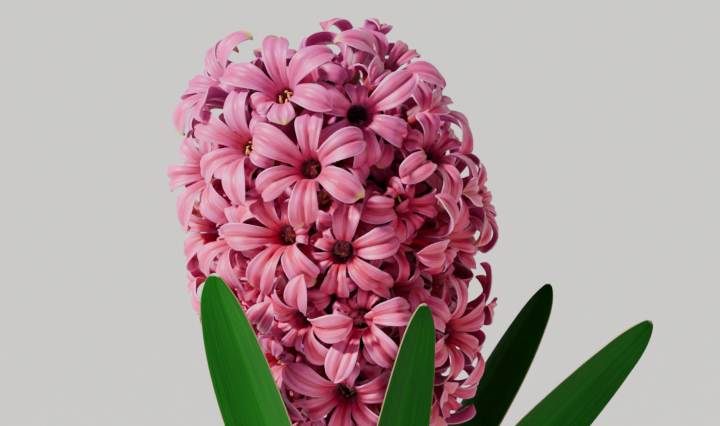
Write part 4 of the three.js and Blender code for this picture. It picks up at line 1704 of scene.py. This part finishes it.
def anther_tree() -> GrowthTree:
    """A capsule on each point, along its aim.

    Returns:
        The tree.
    """
    tree = GrowthTree("anthers", {"Length": "Float", "Width": "Float", "Seed": "Int", "Finish": "Material"})
    ball = tree.node("GeometryNodeMeshUVSphere", None, {"Segments": 8, "Rings": 6, "Radius": 0.5})
    size = tree.vector(tree.number("Width"), tree.number("Width") * 0.7, tree.number("Length"))
    capsule = tree.node("GeometryNodeTransform", None, {"Geometry": ball.outputs[0], "Scale": size})
    aim = tree.read("aim", "FLOAT_VECTOR")
    upright = tree.node("FunctionNodeAlignRotationToVector", {"axis": "Z"}, {"Vector": aim})
    size = tree.vector(1.0, 1.0, Signal(tree, tree.chance(0.85, 1.15, 1)))
    tree.finish(tree.given("Geometry"), capsule.outputs[0], upright.outputs[0], size)
    return tree


def crumb_tree() -> GrowthTree:
    """Lumps scattered over the faces whose attribute bare is set, half sunk in.

    Returns:
        The tree.
    """
    kinds = {"Density": "Float", "Least": "Float", "Most": "Float", "Detail": "Int", "Seed": "Int"}
    tree = GrowthTree("crumbs", {**kinds, "Finish": "Material"})
    seeds = {"Mesh": tree.given("Geometry"), "Density": tree.given("Density"), "Seed": tree.given("Seed")}
    seeds["Selection"] = tree.read("bare", "BOOLEAN")
    points = tree.node("GeometryNodeDistributePointsOnFaces", None, seeds)
    lump = tree.node("GeometryNodeMeshIcoSphere", None, {"Radius": 0.5, "Subdivisions": tree.given("Detail")})
    where = tree.node("GeometryNodeInputPosition").outputs[0]
    dents = tree.node("ShaderNodeTexNoise", None, {"Vector": where, "Scale": 2.3, "Detail": 1.0})
    away = tree.vector_maths("SUBTRACT", {0: dents.outputs["Color"], 1: (0.5, 0.5, 0.5)})
    shift = tree.vector_maths("SCALE", {0: away, "Scale": 0.8})
    rough = tree.node("GeometryNodeSetPosition", None, {"Geometry": lump.outputs[0], "Offset": shift})
    size = Signal(tree, tree.chance(0.0, 1.0, 5)) ** 2.5
    size = tree.number("Least") + (tree.number("Most") - tree.number("Least")) * size
    shape = tree.chance_vector((0.7, 0.6, 0.5), (1.2, 1.0, 0.8), 6)
    turns = tree.chance_vector((0.0,) * 3, (6.28,) * 3, 7)
    scale = tree.vector_maths("SCALE", {0: shape, "Scale": size})
    tree.finish(points.outputs["Points"], rough.outputs[0], turns, scale)
    return tree


# ---- Leaves and stem ----


@dataclass
class Rosette:
    """The strap leaves."""

    blade: LeafBlade = field(default_factory=LeafBlade)

    def build(self) -> None:
        """Builds each leaf over its solid."""
        green = LeafFinish().material()
        for name in named("leaf_"):
            shell = Shell()
            line = self.line(name)
            inner, outer = add_blade(shell, self.blade, line)
            across = self.blade.across()
            root = int(shell.add(line.sections[0].middle[None])[0])
            shell.fan(outer[::-1], across[::-1], 0.0, root, 0.0, 0.0)
            shell.fan(inner, across, 0.0, root, 0.0, 1.0)
            fitted(shell.piece(f"{name}_blade", green), "leaf_green", name)

    @staticmethod
    def line(name: str) -> Line:
        """Reads a leaf, whose root and tip alone have eight faces round them.

        Args:
            name: The solid's name.

        Returns:
            Its line.
        """
        net = Net(name)
        ends = [i for i, fan in enumerate(net.fans) if fan == 8 and len(net.joined[i]) == 8]
        root = min(ends, key=lambda i: net.points[i][2])
        layers = net.layers(root)
        tip = layers[-1][0]
        outwards = net.points[tip] - net.points[root]
        outwards[2] = 0
        return Line.read(net, layers[1:-1], tip, np.cross((0, 0, 1), outwards))


@dataclass
class Stem:
    """The stem's bowed column, a stalk for each floret, and the closed buds at the tip."""

    foot: float = 5.2 * MM
    neck: float = 4.4 * MM
    tip: float = 2.3 * MM
    head_foot: float = 0.1645
    bow_from: float = 0.195
    bow_span: float = 0.08
    bow_shift: float = -0.012
    bow_power: float = 1.5
    stalk: float = 1.4 * MM
    rows: int = 40
    sides: int = 24
    stalk_sides: int = 10
    voxel: float = 0.5 * MM
    # The buds at the tip: the way each leans in degrees, how far, and its length in millimetres.
    tip_buds: Rows = ((-110, 6, 15), (-139, 34, 11), (-41, 30, 11), (104, 26, 11))
    bud: float = 2.2 * MM
    bud_sink: float = 3 * MM  # how far a bud starts inside the tip
    # A stalk leaves the column at this share of its floret's height above the head's middle.
    stalk_share: float = 0.75
    swell: tuple[float, ...] = (1.7, 1.35, 1.12, 1.0, 0.96, 0.95, 0.96, 0.98, 0.9)  # a stalk's, from its root
    lead: float = 5 * MM  # how far before its floret a stalk heads for it
    over: float = 3 * MM  # how far the column rises above its last stalk

    def shift(self, z: Grid) -> Grid:
        """How far to the side the column stands at a height."""
        above = np.maximum(0, (np.asarray(z) - self.bow_from) / self.bow_span)
        return self.bow_shift * above**self.bow_power

    def spot(self, height: float) -> Grid:
        """The middle of the column at a height."""
        return np.array([self.shift(height), 0.0, height])

    def build(self, florets: Sequence[FloretForm]) -> None:
        """Builds the stem, and the buds that it carries besides the florets.

        Args:
            florets: The florets to carry.
        """
        top = max(self.root_of(floret)[2] for floret in florets) + self.over
        self.build_column(florets, top)
        self.build_buds(top)

    def build_buds(self, top: float) -> None:
        """Builds the closed buds of the tip.

        Args:
            top: The height of the column's tip.
        """
        draw = random.Random(SEED + 2)
        shell = Shell()
        for azimuth, tilt, length in self.tip_buds:
            turn, lean = math.radians(azimuth), math.radians(tilt)
            out = math.sin(lean)
            aim = np.array([out * math.sin(turn), -out * math.cos(turn), math.cos(lean)])
            foot = self.spot(top) - aim * self.bud_sink
            add_bud(shell, foot, foot + aim * length * MM, self.bud, draw)
        fitted(shell.piece("tip_buds", BudFinish().material()), "tepal_pink")

    def build_column(self, florets: Sequence[FloretForm], top: float) -> None:
        """Builds the column with its stalks as one skin.

        Args:
            florets: The florets to carry.
            top: The height of the column's tip.
        """
        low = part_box("stem")[0].z
        shell = Shell()
        heights = np.linspace(low, top, self.rows)
        radii = np.interp(heights, [low, self.head_foot, top], [self.foot, self.neck, self.tip])
        path = np.stack([self.shift(heights), 0 * heights, heights], axis=1)
        add_tube(shell, path, radii, self.sides)
        for floret in florets:
            add_tube(shell, self.stalk_path(floret), self.stalk * np.array(self.swell), self.stalk_sides)
        piece = shell.piece("stem_column", StemFinish().material())
        remesh = piece.modifiers.new("join", "REMESH")
        remesh.mode = "VOXEL"
        remesh.voxel_size = self.voxel
        remesh.use_smooth_shade = True
        soften = piece.modifiers.new("soften", "SMOOTH")
        soften.iterations = 4
        soften.factor = 0.5
        settled(piece)
        piece.data.shade_smooth()
        fitted(piece, "stem_green", "stem")

    def root_of(self, floret: FloretForm) -> Grid:
        """Where a floret's stalk leaves the column's middle: nearer the head's middle than its foot."""
        return self.spot(HEAD_MIDDLE + self.stalk_share * (floret.foot[2] - HEAD_MIDDLE))

    def stalk_path(self, floret: FloretForm) -> Grid:
        """A stalk's middle line, which bends so that it meets its floret straight.

        Args:
            floret: The floret.

        Returns:
            The points of the line.
        """
        root = self.root_of(floret)
        aside = floret.foot - floret.aim() * self.lead
        shares = np.linspace(0, 1, len(self.swell))
        return bezier(root, root + (floret.foot - root) * 0.4, aside, floret.foot, shares)


@dataclass(frozen=True)
class Gap:
    """A gap in the head."""

    room: float  # the distance to the nearest tube or tepal
    root: Grid  # the point of the stem behind it
    place: Grid


@dataclass
class LateFlorets:
    """Small florets that fill the widest gaps of the head, each on a stalk of its own."""

    stem: Stem
    head: FlowerHead
    form: LateForm = field(default_factory=LateForm)
    half_width: float = 0.030
    half_height: float = 0.051
    depths: tuple[float, ...] = (1.0, 0.86, 0.72)  # shares of the head's size at which gaps are looked for
    stalk_share: float = 0.6  # as the stem's
    candidates: int = 900
    full_room: float = 6.5 * MM  # the room that a floret of size 1 takes
    least_room: float = 3.6 * MM
    most_size: float = 0.95
    apart: float = 8.5 * MM
    swell: tuple[float, ...] = (1.2, 0.9, 0.8, 0.8, 0.9)  # a stalk's, from its root
    stalk_sides: int = 8

    def build(self, florets: Sequence[FloretForm]) -> None:
        """Builds the stalks in one piece, the lower and the upper half of the florets, and their anthers.

        Args:
            florets: The large florets.
        """
        draw = random.Random(SEED + 4)
        gaps = self.gaps(florets)
        forms = []
        for gap in gaps:
            size = min(self.most_size, gap.room / self.full_room)
            forms.append(self.form.form(gap.root, gap.place, size, draw))
        stalks = Shell()
        for gap, form in zip(gaps, forms, strict=True):
            stalks.mood = (draw.uniform(0.2, 0.8), 0.1, 0.3, 0.0)
            path = np.linspace(gap.root, form.foot + form.aim() * MM, len(self.swell))
            add_tube(stalks, path, self.stem.stalk * np.array(self.swell), self.stalk_sides)
        fitted(stalks.piece("late_stalks", StemFinish().material()), "stem_green")

        petals = TepalFinish().material()
        draw = random.Random(SEED + 3)
        forms.sort(key=lambda form: form.mouth[2])
        half = len(forms) // 2
        for name, part in (("late_florets_low", forms[:half]), ("late_florets_high", forms[half:])):
            shell = Shell()
            for form in part:
                self.head.add_floret(shell, form, draw)
            fitted(shell.piece(name, petals), "tepal_pink")
        self.head.build_anthers("late_anthers")

    def gaps(self, florets: Sequence[FloretForm]) -> list[Gap]:
        """Finds the widest gaps in the head.

        Args:
            florets: The large florets.

        Returns:
            The gaps, widest first.
        """
        tubes = [np.linspace(floret.foot, floret.mouth, 7) for floret in florets]
        blades = [line_points(line) for floret in florets for line in floret.tepals]
        taken = np.concatenate([*tubes, *blades])
        found = sorted((self.gap(i, taken) for i in range(self.candidates)), key=lambda gap: -gap.room)
        kept: list[Gap] = []
        for gap in found:
            free = all(np.linalg.norm(gap.place - other.place) > self.apart for other in kept)
            if gap.room > self.least_room and free:
                kept.append(gap)
        return kept

    def gap(self, i: int, taken: Grid) -> Gap:
        """Looks at one place in the head.

        Args:
            i: Which of the candidates it is. They wind down the head by the golden angle.
            taken: The points of the large florets.

        Returns:
            The place, as a gap.
        """
        z = 1 - 2 * (i + 0.5) / self.candidates
        turn = i * math.pi * (3 - math.sqrt(5))
        flat = math.sqrt(1 - z * z)
        depth = self.depths[i % len(self.depths)]
        up = z * self.half_height * depth
        side = np.array([flat * math.cos(turn), flat * math.sin(turn), 0]) * self.half_width * depth
        place = side + self.stem.spot(HEAD_MIDDLE + up)
        root = self.stem.spot(HEAD_MIDDLE + self.stalk_share * up)
        body = place + (root - place) * np.linspace(0, 0.5, 6)[:, None]
        room = min(np.linalg.norm(taken - point, axis=1).min() for point in body)
        return Gap(room, root, place)


def line_points(line: Line) -> Grid:
    """Points along the middle and both edges of a blade."""
    rows = [section.middle + section.half * side for section in line.sections for side in (-1, 0, 1)]
    return np.array([*rows, line.tip])


def add_bud(shell: Shell, foot: Grid, tip: Grid, radius: float, draw: Draw) -> None:
    """Adds a closed bud of six tepals, with a seam between each two.

    Args:
        shell: The skin.
        foot: Where it starts.
        tip: Where it ends.
        radius: Its radius at its widest.
        draw: The source of chance.
    """
    shares = np.array([0.03, 0.1, 0.2, 0.34, 0.48, 0.6, 0.72, 0.82, 0.9, 0.95, 0.985])
    girth = np.array([0.4, 0.7, 0.92, 1.0, 0.94, 0.92, 0.88, 0.74, 0.54, 0.36, 0.18])
    sides, most_bend, seam_depth = 36, 0.8 * MM, 0.16
    angle = np.linspace(0, math.tau, sides, endpoint=False)
    seam = 1 - seam_depth * np.abs(np.cos(angle * TEPALS / 2 + draw.uniform(0, 3))) ** 5
    axis = unit(tip - foot)
    side = unit(np.cross(axis, (0.3, 0.2, 0.93) if abs(axis[2]) < 0.8 else (0.9, 0.4, 0.1)))
    other = np.cross(axis, side)
    bend = (side * draw.uniform(-1, 1) + other * draw.uniform(-1, 1)) * most_bend
    middle = foot + np.outer(shares, tip - foot) + np.outer(np.sin(shares * math.pi), bend)
    rings = circle(side, other, angle) * (girth[:, None] * seam)[..., None] * radius
    shell.mood = (draw.uniform(0.2, 0.8), draw.uniform(0, 0.4), draw.uniform(0.4, 1.0), draw.uniform(0, 0.5))
    shell.rings(middle[:, None] + rings, shares, foot, tip)


def add_tube(shell: Shell, path: Grid, radii: Grid, sides: int) -> None:
    """Adds a closed tube along a path.

    Args:
        shell: The skin.
        path: The points of its middle line.
        radii: Its radius at each.
        sides: How many sides it has.
    """
    along = unit(np.gradient(path, axis=0))
    side = unit(np.cross(along, (0.31, 0.22, 0.93) if abs(along[0][2]) < 0.8 else (0.9, 0.4, 0.1)))[:, None]
    angle = np.linspace(0, math.tau, sides, endpoint=False)
    rings = circle(side, np.cross(along[:, None], side), angle[None]) * radii[:, None, None]
    shell.rings(path[:, None] + rings, np.linspace(0, 1, len(path)), path[0], path[-1])


# ---- Pot, compost and bulb ----


def rounded(corners: Sequence[tuple[float, float, float]], step: float) -> Grid:
    """A profile of straight runs with rounded corners.

    Args:
        corners: The radius, the height and the fillet of each corner.
        step: The longest step on a straight run.

    Returns:
        Radii and heights along the profile.
    """
    points = [np.array(corners[0][:2])]
    for i in range(1, len(corners)):
        corner, fillet = np.array(corners[i][:2]), corners[i][2]
        before = np.array(corners[i - 1][:2]) - corner
        reach = np.linalg.norm(before)
        arc = [corner]
        if fillet:
            after = np.array(corners[i + 1][:2]) - corner
            cut = min(fillet, 0.49 * reach, 0.49 * np.linalg.norm(after))
            start, end = before / reach * cut, after / np.linalg.norm(after) * cut
            arc = [corner + (1 - u) ** 2 * start + u**2 * end for u in np.linspace(0, 1, 7)]
        run = arc[0] - points[-1]
        parts = max(1, math.ceil(np.linalg.norm(run) / step))
        points += [points[-1] + run * k / parts for k in range(1, parts)] + arc
    return np.array(points)


def turned(profile: Grid, sides: int, worked: Callable[[Grid], Grid]) -> Shell:
    """Turns a closed profile about the Z axis.

    Args:
        profile: Radii and heights, from the lower pole to the upper one.
        sides: How many sides the body gets.
        worked: Moves the turned points.

    Returns:
        The skin.
    """
    angle = np.linspace(0, math.tau, sides, endpoint=False)
    radius, height = profile[1:-1].T[..., None]
    rings = np.stack([radius * np.cos(angle), radius * np.sin(angle), height + 0 * angle], axis=2)
    shell = Shell()
    low, high = ([0, 0, profile[end, 1]] for end in (0, -1))
    shell.rings(worked(rings), np.linspace(0, 1, len(rings)), low, high)
    return shell


def swollen(rings: Grid, swell: Grid) -> Grid:
    """Points moved away from the Z axis by a swell each."""
    radius = np.maximum(np.hypot(rings[..., 0], rings[..., 1]), MM)
    return rings * (1 + swell / radius)[..., None] ** [1, 1, 0]


def clouds(points: Grid, size: float, shift: float = 0.0) -> Grid:
    """Soft noise at points.

    Args:
        points: The points.
        size: How wide its clouds are.
        shift: Where in the noise to start.

    Returns:
        A number from -1 to 1 for each point.
    """
    flat = points.reshape(-1, 3) / size + shift
    found = [noise.noise(Vector(point)) for point in flat.tolist()]
    return np.array(found).reshape(points.shape[:-1])


@dataclass
class Pot:
    """A thrown clay pot with a rim band, rounded lips, and drain holes round the middle of its floor."""

    height: float = 90 * MM
    foot: float = 37 * MM
    shoulder: float = 50 * MM
    rim: float = 55 * MM
    rim_height: float = 18 * MM
    rim_taper: float = 0.6 * MM
    inside_top: float = 48.5 * MM
    inside_foot: float = 32.5 * MM
    floor: float = 6 * MM
    lip: float = 2.2 * MM
    step: float = 1.2 * MM
    sides: int = 180
    holes: int = 3
    hole: float = 4 * MM
    hole_ring: float = 19 * MM
    hole_sides: int = 32
    drill_over: float = 5 * MM  # how far the drill reaches past the floor on both sides
    thrown: float = 0.12 * MM  # how high the throwing lines stand
    thrown_pitch: float = 1.9 * MM
    thrown_drift: float = 1.5  # radians by which the lines wander up and down
    drift_height: float = 7 * MM  # the height of a radian of that
    thrown_share: float = 0.4  # of their height that is the same all over
    thrown_patch: float = 30 * MM  # the width of the patches in which the rest comes and goes
    uneven: float = 0.35 * MM
    uneven_width: float = 45 * MM
    sunk: float = 0.25 * MM  # how far the uneven wall stays inside the solid's
    underside: Span = (0.75, 0.98)  # shares of the inside's foot between which all this comes in

    def profile(self) -> Grid:
        """The pot's profile from the middle of its underside to the middle of its floor."""
        band = self.height - self.rim_height
        return rounded(
            [
                (0, 0, 0),
                (self.foot * 0.8, 0, 0.6 * MM),
                (self.foot, 0, 2 * MM),
                (self.shoulder, band, 1.2 * MM),
                (self.rim - self.rim_taper, band, 1.8 * MM),
                (self.rim, self.height, self.lip),
                (self.inside_top, self.height, self.lip),
                (self.inside_foot, self.floor, 3 * MM),
                (0, self.floor, 0),
            ],
            self.step,
        )

    def worked(self, rings: Grid) -> Grid:
        """Adds throwing lines and a slightly uneven wall, which fade out on the underside.

        Args:
            rings: The turned points.

        Returns:
            The same points, moved.
        """
        x, y, z = np.moveaxis(rings, -1, 0)
        low, high = self.underside
        upright = smooth(np.hypot(x, y), self.inside_foot * low, self.inside_foot * high)
        drift = self.thrown_drift * np.sin(z / self.drift_height)
        lines = np.sin(z / self.thrown_pitch + np.arctan2(y, x) + drift) * self.thrown
        patches = clouds(rings * [1, 1, 0.3], self.thrown_patch)
        lines *= self.thrown_share + (1 - self.thrown_share) * patches
        wall = clouds(rings, self.uneven_width, 7.0) * self.uneven - self.sunk
        return swollen(rings, (lines + wall) * upright)

    def build(self) -> None:
        """Builds the pot and drills its floor."""
        shell = turned(self.profile(), self.sides, self.worked)
        piece = shell.piece("pot_clay", TerracottaFinish().material())
        for i in range(self.holes):
            self.drill(piece, i * math.tau / self.holes)
        fitted(piece, "terracotta", "pot")

    def drill(self, piece: Piece, bearing: float) -> None:
        """Drills one hole.

        Args:
            piece: The pot.
            bearing: Where the hole lies about the axis.
        """
        shell = Shell()
        x, y = self.hole_ring * math.cos(bearing), self.hole_ring * math.sin(bearing)
        path = np.array([(x, y, -self.drill_over), (x, y, self.floor + self.drill_over)])
        add_tube(shell, path, np.full(2, self.hole), self.hole_sides)
        cutter = shell.piece("drill", piece.data.materials[0])
        cut = piece.modifiers.new("cut", "BOOLEAN")
        cut.object = cutter
        cut.solver = "EXACT"
        settled(piece)
        bpy.data.objects.remove(cutter)


@dataclass
class Compost:
    """Crumbly compost, heaped a little towards the bulb, with crumbs and perlite on top."""

    level: float = 79 * MM
    mound: float = 2 * MM
    bottom: float = 6.4 * MM
    foot: float = 31.8 * MM
    rim: float = 46.3 * MM
    inside: float = 26.5 * MM
    # The hole that the bulb fills: radii and heights in millimetres, from the top down.
    socket: Rows = ((28.9, 70.0), (29.2, 65.0), (27.2, 54.0), (21.2, 45.0), (11.7, 39.7))
    step: float = 0.6 * MM
    sides: int = 300
    # Lumps of noise on top: the width, the height and the start of each layer.
    lumps: Rows = ((9 * MM, 1.3 * MM, 0.0), (3.2 * MM, 0.8 * MM, 3.0), (1.3 * MM, 0.4 * MM, 5.0))
    crumbs: float = 420000  # a square metre, as are the grains
    crumb_sizes: Span = (0.5 * MM, 3.2 * MM)
    grains: float = 17000
    grain_sizes: Span = (1.0 * MM, 3.4 * MM)

    def build(self) -> None:
        """Builds the compost and what lies on it."""
        hole = [(r * MM, z * MM, 0) for r, z in self.socket]
        top = self.level + self.mound
        corners = [
            (0, self.bottom, 0), (self.foot, self.bottom, 0), (self.rim, self.level, 1.5 * MM),
            (self.inside, top, 0.8 * MM), *hole, (0, hole[-1][1], 0),
        ]
        shell = turned(rounded(corners, self.step), self.sides, self.worked)
        piece = shell.piece("compost", CompostFinish().material())
        self.mark_bare(piece.data)
        self.scatter(piece, "crumbs", CompostFinish("compost_crumbs"), self.crumbs, self.crumb_sizes, 1)
        self.scatter(piece, "perlite", GritFinish(), self.grains, self.grain_sizes, 2)
        fitted(piece, "compost", "soil")

    def worked(self, rings: Grid) -> Grid:
        """Adds lumps to the upper side.

        Args:
            rings: The turned points.

        Returns:
            The same points, moved.
        """
        radius = np.linalg.norm(rings[..., :2], axis=2)
        top = (rings[..., 2] > self.level - 0.5 * MM) * smooth(radius, self.inside - MM, self.inside + 2 * MM)
        top *= 1 - smooth(radius, self.rim - 2 * MM, self.rim)
        rings = rings.copy()
        lumps = [clouds(rings, width, shift) * height for width, height, shift in self.lumps]
        rings[..., 2] += top * sum(lumps)
        return rings

    def mark_bare(self, mesh: bpy.types.Mesh) -> None:
        """Marks the faces that crumbs can lie on.

        Args:
            mesh: The compost's mesh.
        """
        centres = np.array([face.center for face in mesh.polygons])
        radius = np.hypot(centres[:, 0], centres[:, 1])
        bare = (radius > self.inside + 1.2 * MM) & (radius < self.rim - MM)
        bare &= centres[:, 2] > self.level - 2 * MM
        mesh.attributes.new("bare", "BOOLEAN", "FACE").data.foreach_set("value", bare)

    @staticmethod
    def scatter(
        ground: Piece, name: str, finish: Finish, density: float, sizes: Span, detail: int
    ) -> None:
        """Scatters one kind of lump.

        Args:
            ground: The piece that it lies on.
            name: The new piece's name.
            finish: Its finish.
            density: Lumps a square metre.
            sizes: The least and the greatest width.
            detail: How finely each lump is divided.
        """
        piece = in_scene(name, ground.data.copy())
        inputs = {
            "Density": density, "Least": sizes[0], "Most": sizes[1], "Detail": detail,
            "Seed": SEED + detail, "Finish": finish.material(),
        }
        grow(piece, crumb_tree(), inputs)
        fitted(settled(piece), "compost")


@dataclass
class Bulb:
    """The bulb, whose papery coat splits into overlapping scales with ragged tops."""

    # Radii and heights in millimetres, from the root plate up.
    outline: Rows = (
        (11, 40), (20.5, 45), (26.5, 54), (28.5, 65), (27.6, 76), (24, 86), (19, 93.5), (15.4, 98),
        (14.6, 101),
    )
    neck: float = 12.6 * MM
    neck_floor: float = 89 * MM
    sides: int = 160
    rows: int = 90
    ridge: float = 0.4 * MM
    ridges: int = 4
    crease: float = 0.22 * MM
    crease_width: float = 2.2 * MM
    crease_sunk: float = 0.1 * MM  # how far the creased coat stays inside the solid's
    below_neck: Span = (0.3 * MM, 1.5 * MM)  # how far outside the neck's radius the creases come in
    scales: int = 13
    scale_row: int = 40  # of the outside, at which the scales start
    scale_columns: int = 30
    scale_turn: float = 2.4  # radians from scale to scale
    scale_width: Span = (0.5, 0.85)  # radians to each side
    tall: Span = (0.8, 1.0)  # shares of the way to the neck
    short: Span = (0.45, 0.7)
    flare: Span = (0.8 * MM, 2.6 * MM)  # how far a scale's top leans off the neck
    papery: float = 0.14 * MM  # half a scale's thickness, more than at its edges
    edge: float = 0.02 * MM  # half its thickness there
    lifts: tuple[float, ...] = (0.5 * MM, 0.7 * MM, 0.9 * MM, 1.1 * MM)  # off the coat, from scale to scale
    torn: float = 0.1  # how far the top is torn up and down, as a share of the way to the neck
    slope: float = 0.12  # how much lower its corners are
    warp: float = 0.25 * MM

    def outside(self) -> Grid:
        """Radii and heights up the outside, smoothly, from the root plate to the neck."""
        points = np.array(self.outline) * MM
        return curve_through(np.arange(len(points)), points, np.linspace(0, len(points) - 1, self.rows))

    def worked(self, rings: Grid) -> Grid:
        """Adds low ridges and fine upright creases to the outside.

        Args:
            rings: The turned points.

        Returns:
            The same points, moved.
        """
        turn = np.arctan2(rings[..., 1], rings[..., 0])
        radius = np.hypot(rings[..., 0], rings[..., 1])
        low, high = self.below_neck
        free = smooth(radius, self.neck + low, self.neck + high)
        creases = clouds(rings * [1, 1, 0.12], self.crease_width) * self.crease - self.crease_sunk
        return swollen(rings, free * (self.ridge * np.sin(self.ridges * turn) + creases))

    def build(self) -> None:
        """Builds the bulb and its loose scales."""
        outside = self.outside()
        inside = [(self.neck, outside[-1, 1]), (self.neck, self.neck_floor), (0, self.neck_floor)]
        profile = np.concatenate([[(0, outside[0, 1])], outside, inside])
        tunic = TunicFinish().material()
        fitted(turned(profile, self.sides, self.worked).piece("bulb_body", tunic), "bulb_tunic", "bulb")
        draw = random.Random(SEED + 1)
        shell = Shell()
        for i in range(self.scales):
            self.add_scale(shell, i, draw)
        fitted(shell.piece("bulb_scales", tunic), "bulb_tunic")

    def add_scale(self, shell: Shell, i: int, draw: Draw) -> None:
        """Adds one loose scale, which leans off the neck at its ragged top.

        Args:
            shell: The skin of all scales.
            i: Which scale it is.
            draw: The source of chance.
        """
        across, along, sheets = self.scale_sheets(i, draw)
        outer, inner = (shell.add(sheet) for sheet in sheets)
        shell.sheet(outer, across, along)
        shell.sheet(inner[:, ::-1], across[::-1], along)
        borders = [(outer[::-1, 0], inner[::-1, 0]), (outer[:, -1], inner[:, -1])]
        borders += [(outer[0], inner[0]), (outer[-1, ::-1], inner[-1, ::-1])]
        for first, second in borders:
            shell.sheet(np.stack([second, first]), np.zeros(len(first)), np.zeros(2))

    def scale_sheets(self, i: int, draw: Draw) -> tuple[Grid, Grid, list[Grid]]:
        """Draws the two faces of a scale.

        Args:
            i: Which scale it is.
            draw: The source of chance.

        Returns:
            The places of its columns, the places of its rows, and the points of its outer and inner face.
        """
        outside = self.outside()[self.scale_row:]
        rows = len(outside)
        turn = i * self.scale_turn + draw.uniform(-0.2, 0.2)
        width = draw.uniform(*self.scale_width)
        lift = self.lifts[i % len(self.lifts)]
        height = draw.uniform(*(self.tall if i % 3 else self.short))
        flare = draw.uniform(*self.flare)
        across = np.linspace(-1, 1, self.scale_columns + 1)[None]
        ragged = height + self.torn * clouds(np.stack([across * 3 + i, across * 0, across * 0], axis=2), 1.0)
        along = np.linspace(0, 1, rows)[:, None] * np.minimum(ragged * (1 - self.slope * across**4), 1.0)
        spots = curve_through(np.linspace(0, 1, rows), outside, along.ravel()).reshape(*along.shape, 2)
        angle = turn + across * width
        away = lift * (1 - across**4) + flare * along**6 + self.ridge * np.sin(self.ridges * angle)
        away = away + self.warp * np.sin(across * 9 + along * 4 + i) * along
        thin = self.papery * (1 - across**8) * (1 - smooth(along / ragged, 0.9, 1.0) * 0.8) + self.edge
        sheets = []
        for offset in (away + thin, away - thin):
            radius = spots[..., 0] + offset
            sheets.append(np.stack([radius * np.cos(angle), radius * np.sin(angle), spots[..., 1]], axis=2))
        return across[0], along[:, self.scale_columns // 2], sheets


# ---- Studio ----


@dataclass(frozen=True)
class Sun:
    """A distant light."""

    name: str
    towards: tuple[float, float, float]  # where it stands
    strength: float
    angle: float  # how wide it looks, in degrees

    def build(self) -> None:
        """Hangs it."""
        light = bpy.data.lights.new(self.name, "SUN")
        light.energy = self.strength
        light.angle = math.radians(self.angle)
        lamp = bpy.data.objects.new(self.name, light)
        lamp.rotation_euler = Vector(self.towards).to_track_quat("Z", "Y").to_euler()
        bpy.context.scene.collection.objects.link(lamp)


@dataclass
class Studio:
    """A pale floor, soft daylight from the upper left, and the camera."""

    floor: float = 30.0
    suns: tuple[Sun, ...] = (
        Sun("key_light", (-1.0, -0.48, 0.82), 7.4, 6),
        Sun("back_light", (0.9, 0.7, 0.7), 0.8, 40),
    )
    glow: float = 0.11
    target: tuple[float, float, float] = (0.0034, 0.0, 0.2314)
    elevation: float = 8.0
    distance: float = 0.7
    lens: float = 122.8

    def build(self) -> None:
        """Lays the floor, hangs a key light and a weak one behind, and sets up the camera."""
        self.build_floor()
        for sun in self.suns:
            sun.build()
        self.build_glow()
        self.build_camera()

    def build_floor(self) -> None:
        """Lays the floor."""
        half = self.floor / 2
        corners = [(-half, -half, 0), (half, -half, 0), (half, half, 0), (-half, half, 0)]
        mesh = bpy.data.meshes.new("studio_floor")
        mesh.from_pydata(corners, [], [(0, 1, 2, 3)])
        mesh.materials.append(FloorFinish().material())
        in_scene("studio_floor", mesh)

    def build_glow(self) -> None:
        """Lights everything evenly from all round."""
        world = bpy.data.worlds.new("studio_glow")
        world.use_nodes = True
        background = world.node_tree.nodes["Background"]
        background.inputs["Color"].default_value = (1.0, 1.0, 1.0, 1.0)
        background.inputs["Strength"].default_value = self.glow
        bpy.context.scene.world = world

    def build_camera(self) -> None:
        """Sets up the camera, level with the flower head and a little above it."""
        tilt = math.radians(self.elevation)
        ahead = Vector((0, math.cos(tilt), -math.sin(tilt)))
        camera = bpy.data.objects.new("camera", bpy.data.cameras.new("camera"))
        camera.data.lens = self.lens
        camera.location = Vector(self.target) - ahead * self.distance
        camera.rotation_euler = ahead.to_track_quat("-Z", "Y").to_euler()
        bpy.context.scene.collection.objects.link(camera)
        bpy.context.scene.camera = camera


def main() -> None:
    """Builds the plant from the pot up, and then the studio."""
    logging.basicConfig(level=logging.INFO, format="%(name)s %(message)s")
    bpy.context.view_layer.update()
    Pot().build()
    Compost().build()
    Bulb().build()
    forms = {name: FloretForm.read(name) for name in named("floret_")}
    florets = list(forms.values())
    FlowerHead().build(forms)
    Rosette().build()
    stem = Stem()
    stem.build(florets)
    coarse = FlowerHead(
        blade=TepalBlade(columns=6, rows=10),
        throat=((0.0, 3.3 * MM), (1.5 * MM, 2.85 * MM), (4.2 * MM, 2.35 * MM), (8.0 * MM, 1.5 * MM)),
        tube_rows=7,
    )
    LateFlorets(stem, coarse).build(florets)
    Studio().build()


if __name__ == "__main__":
    main()
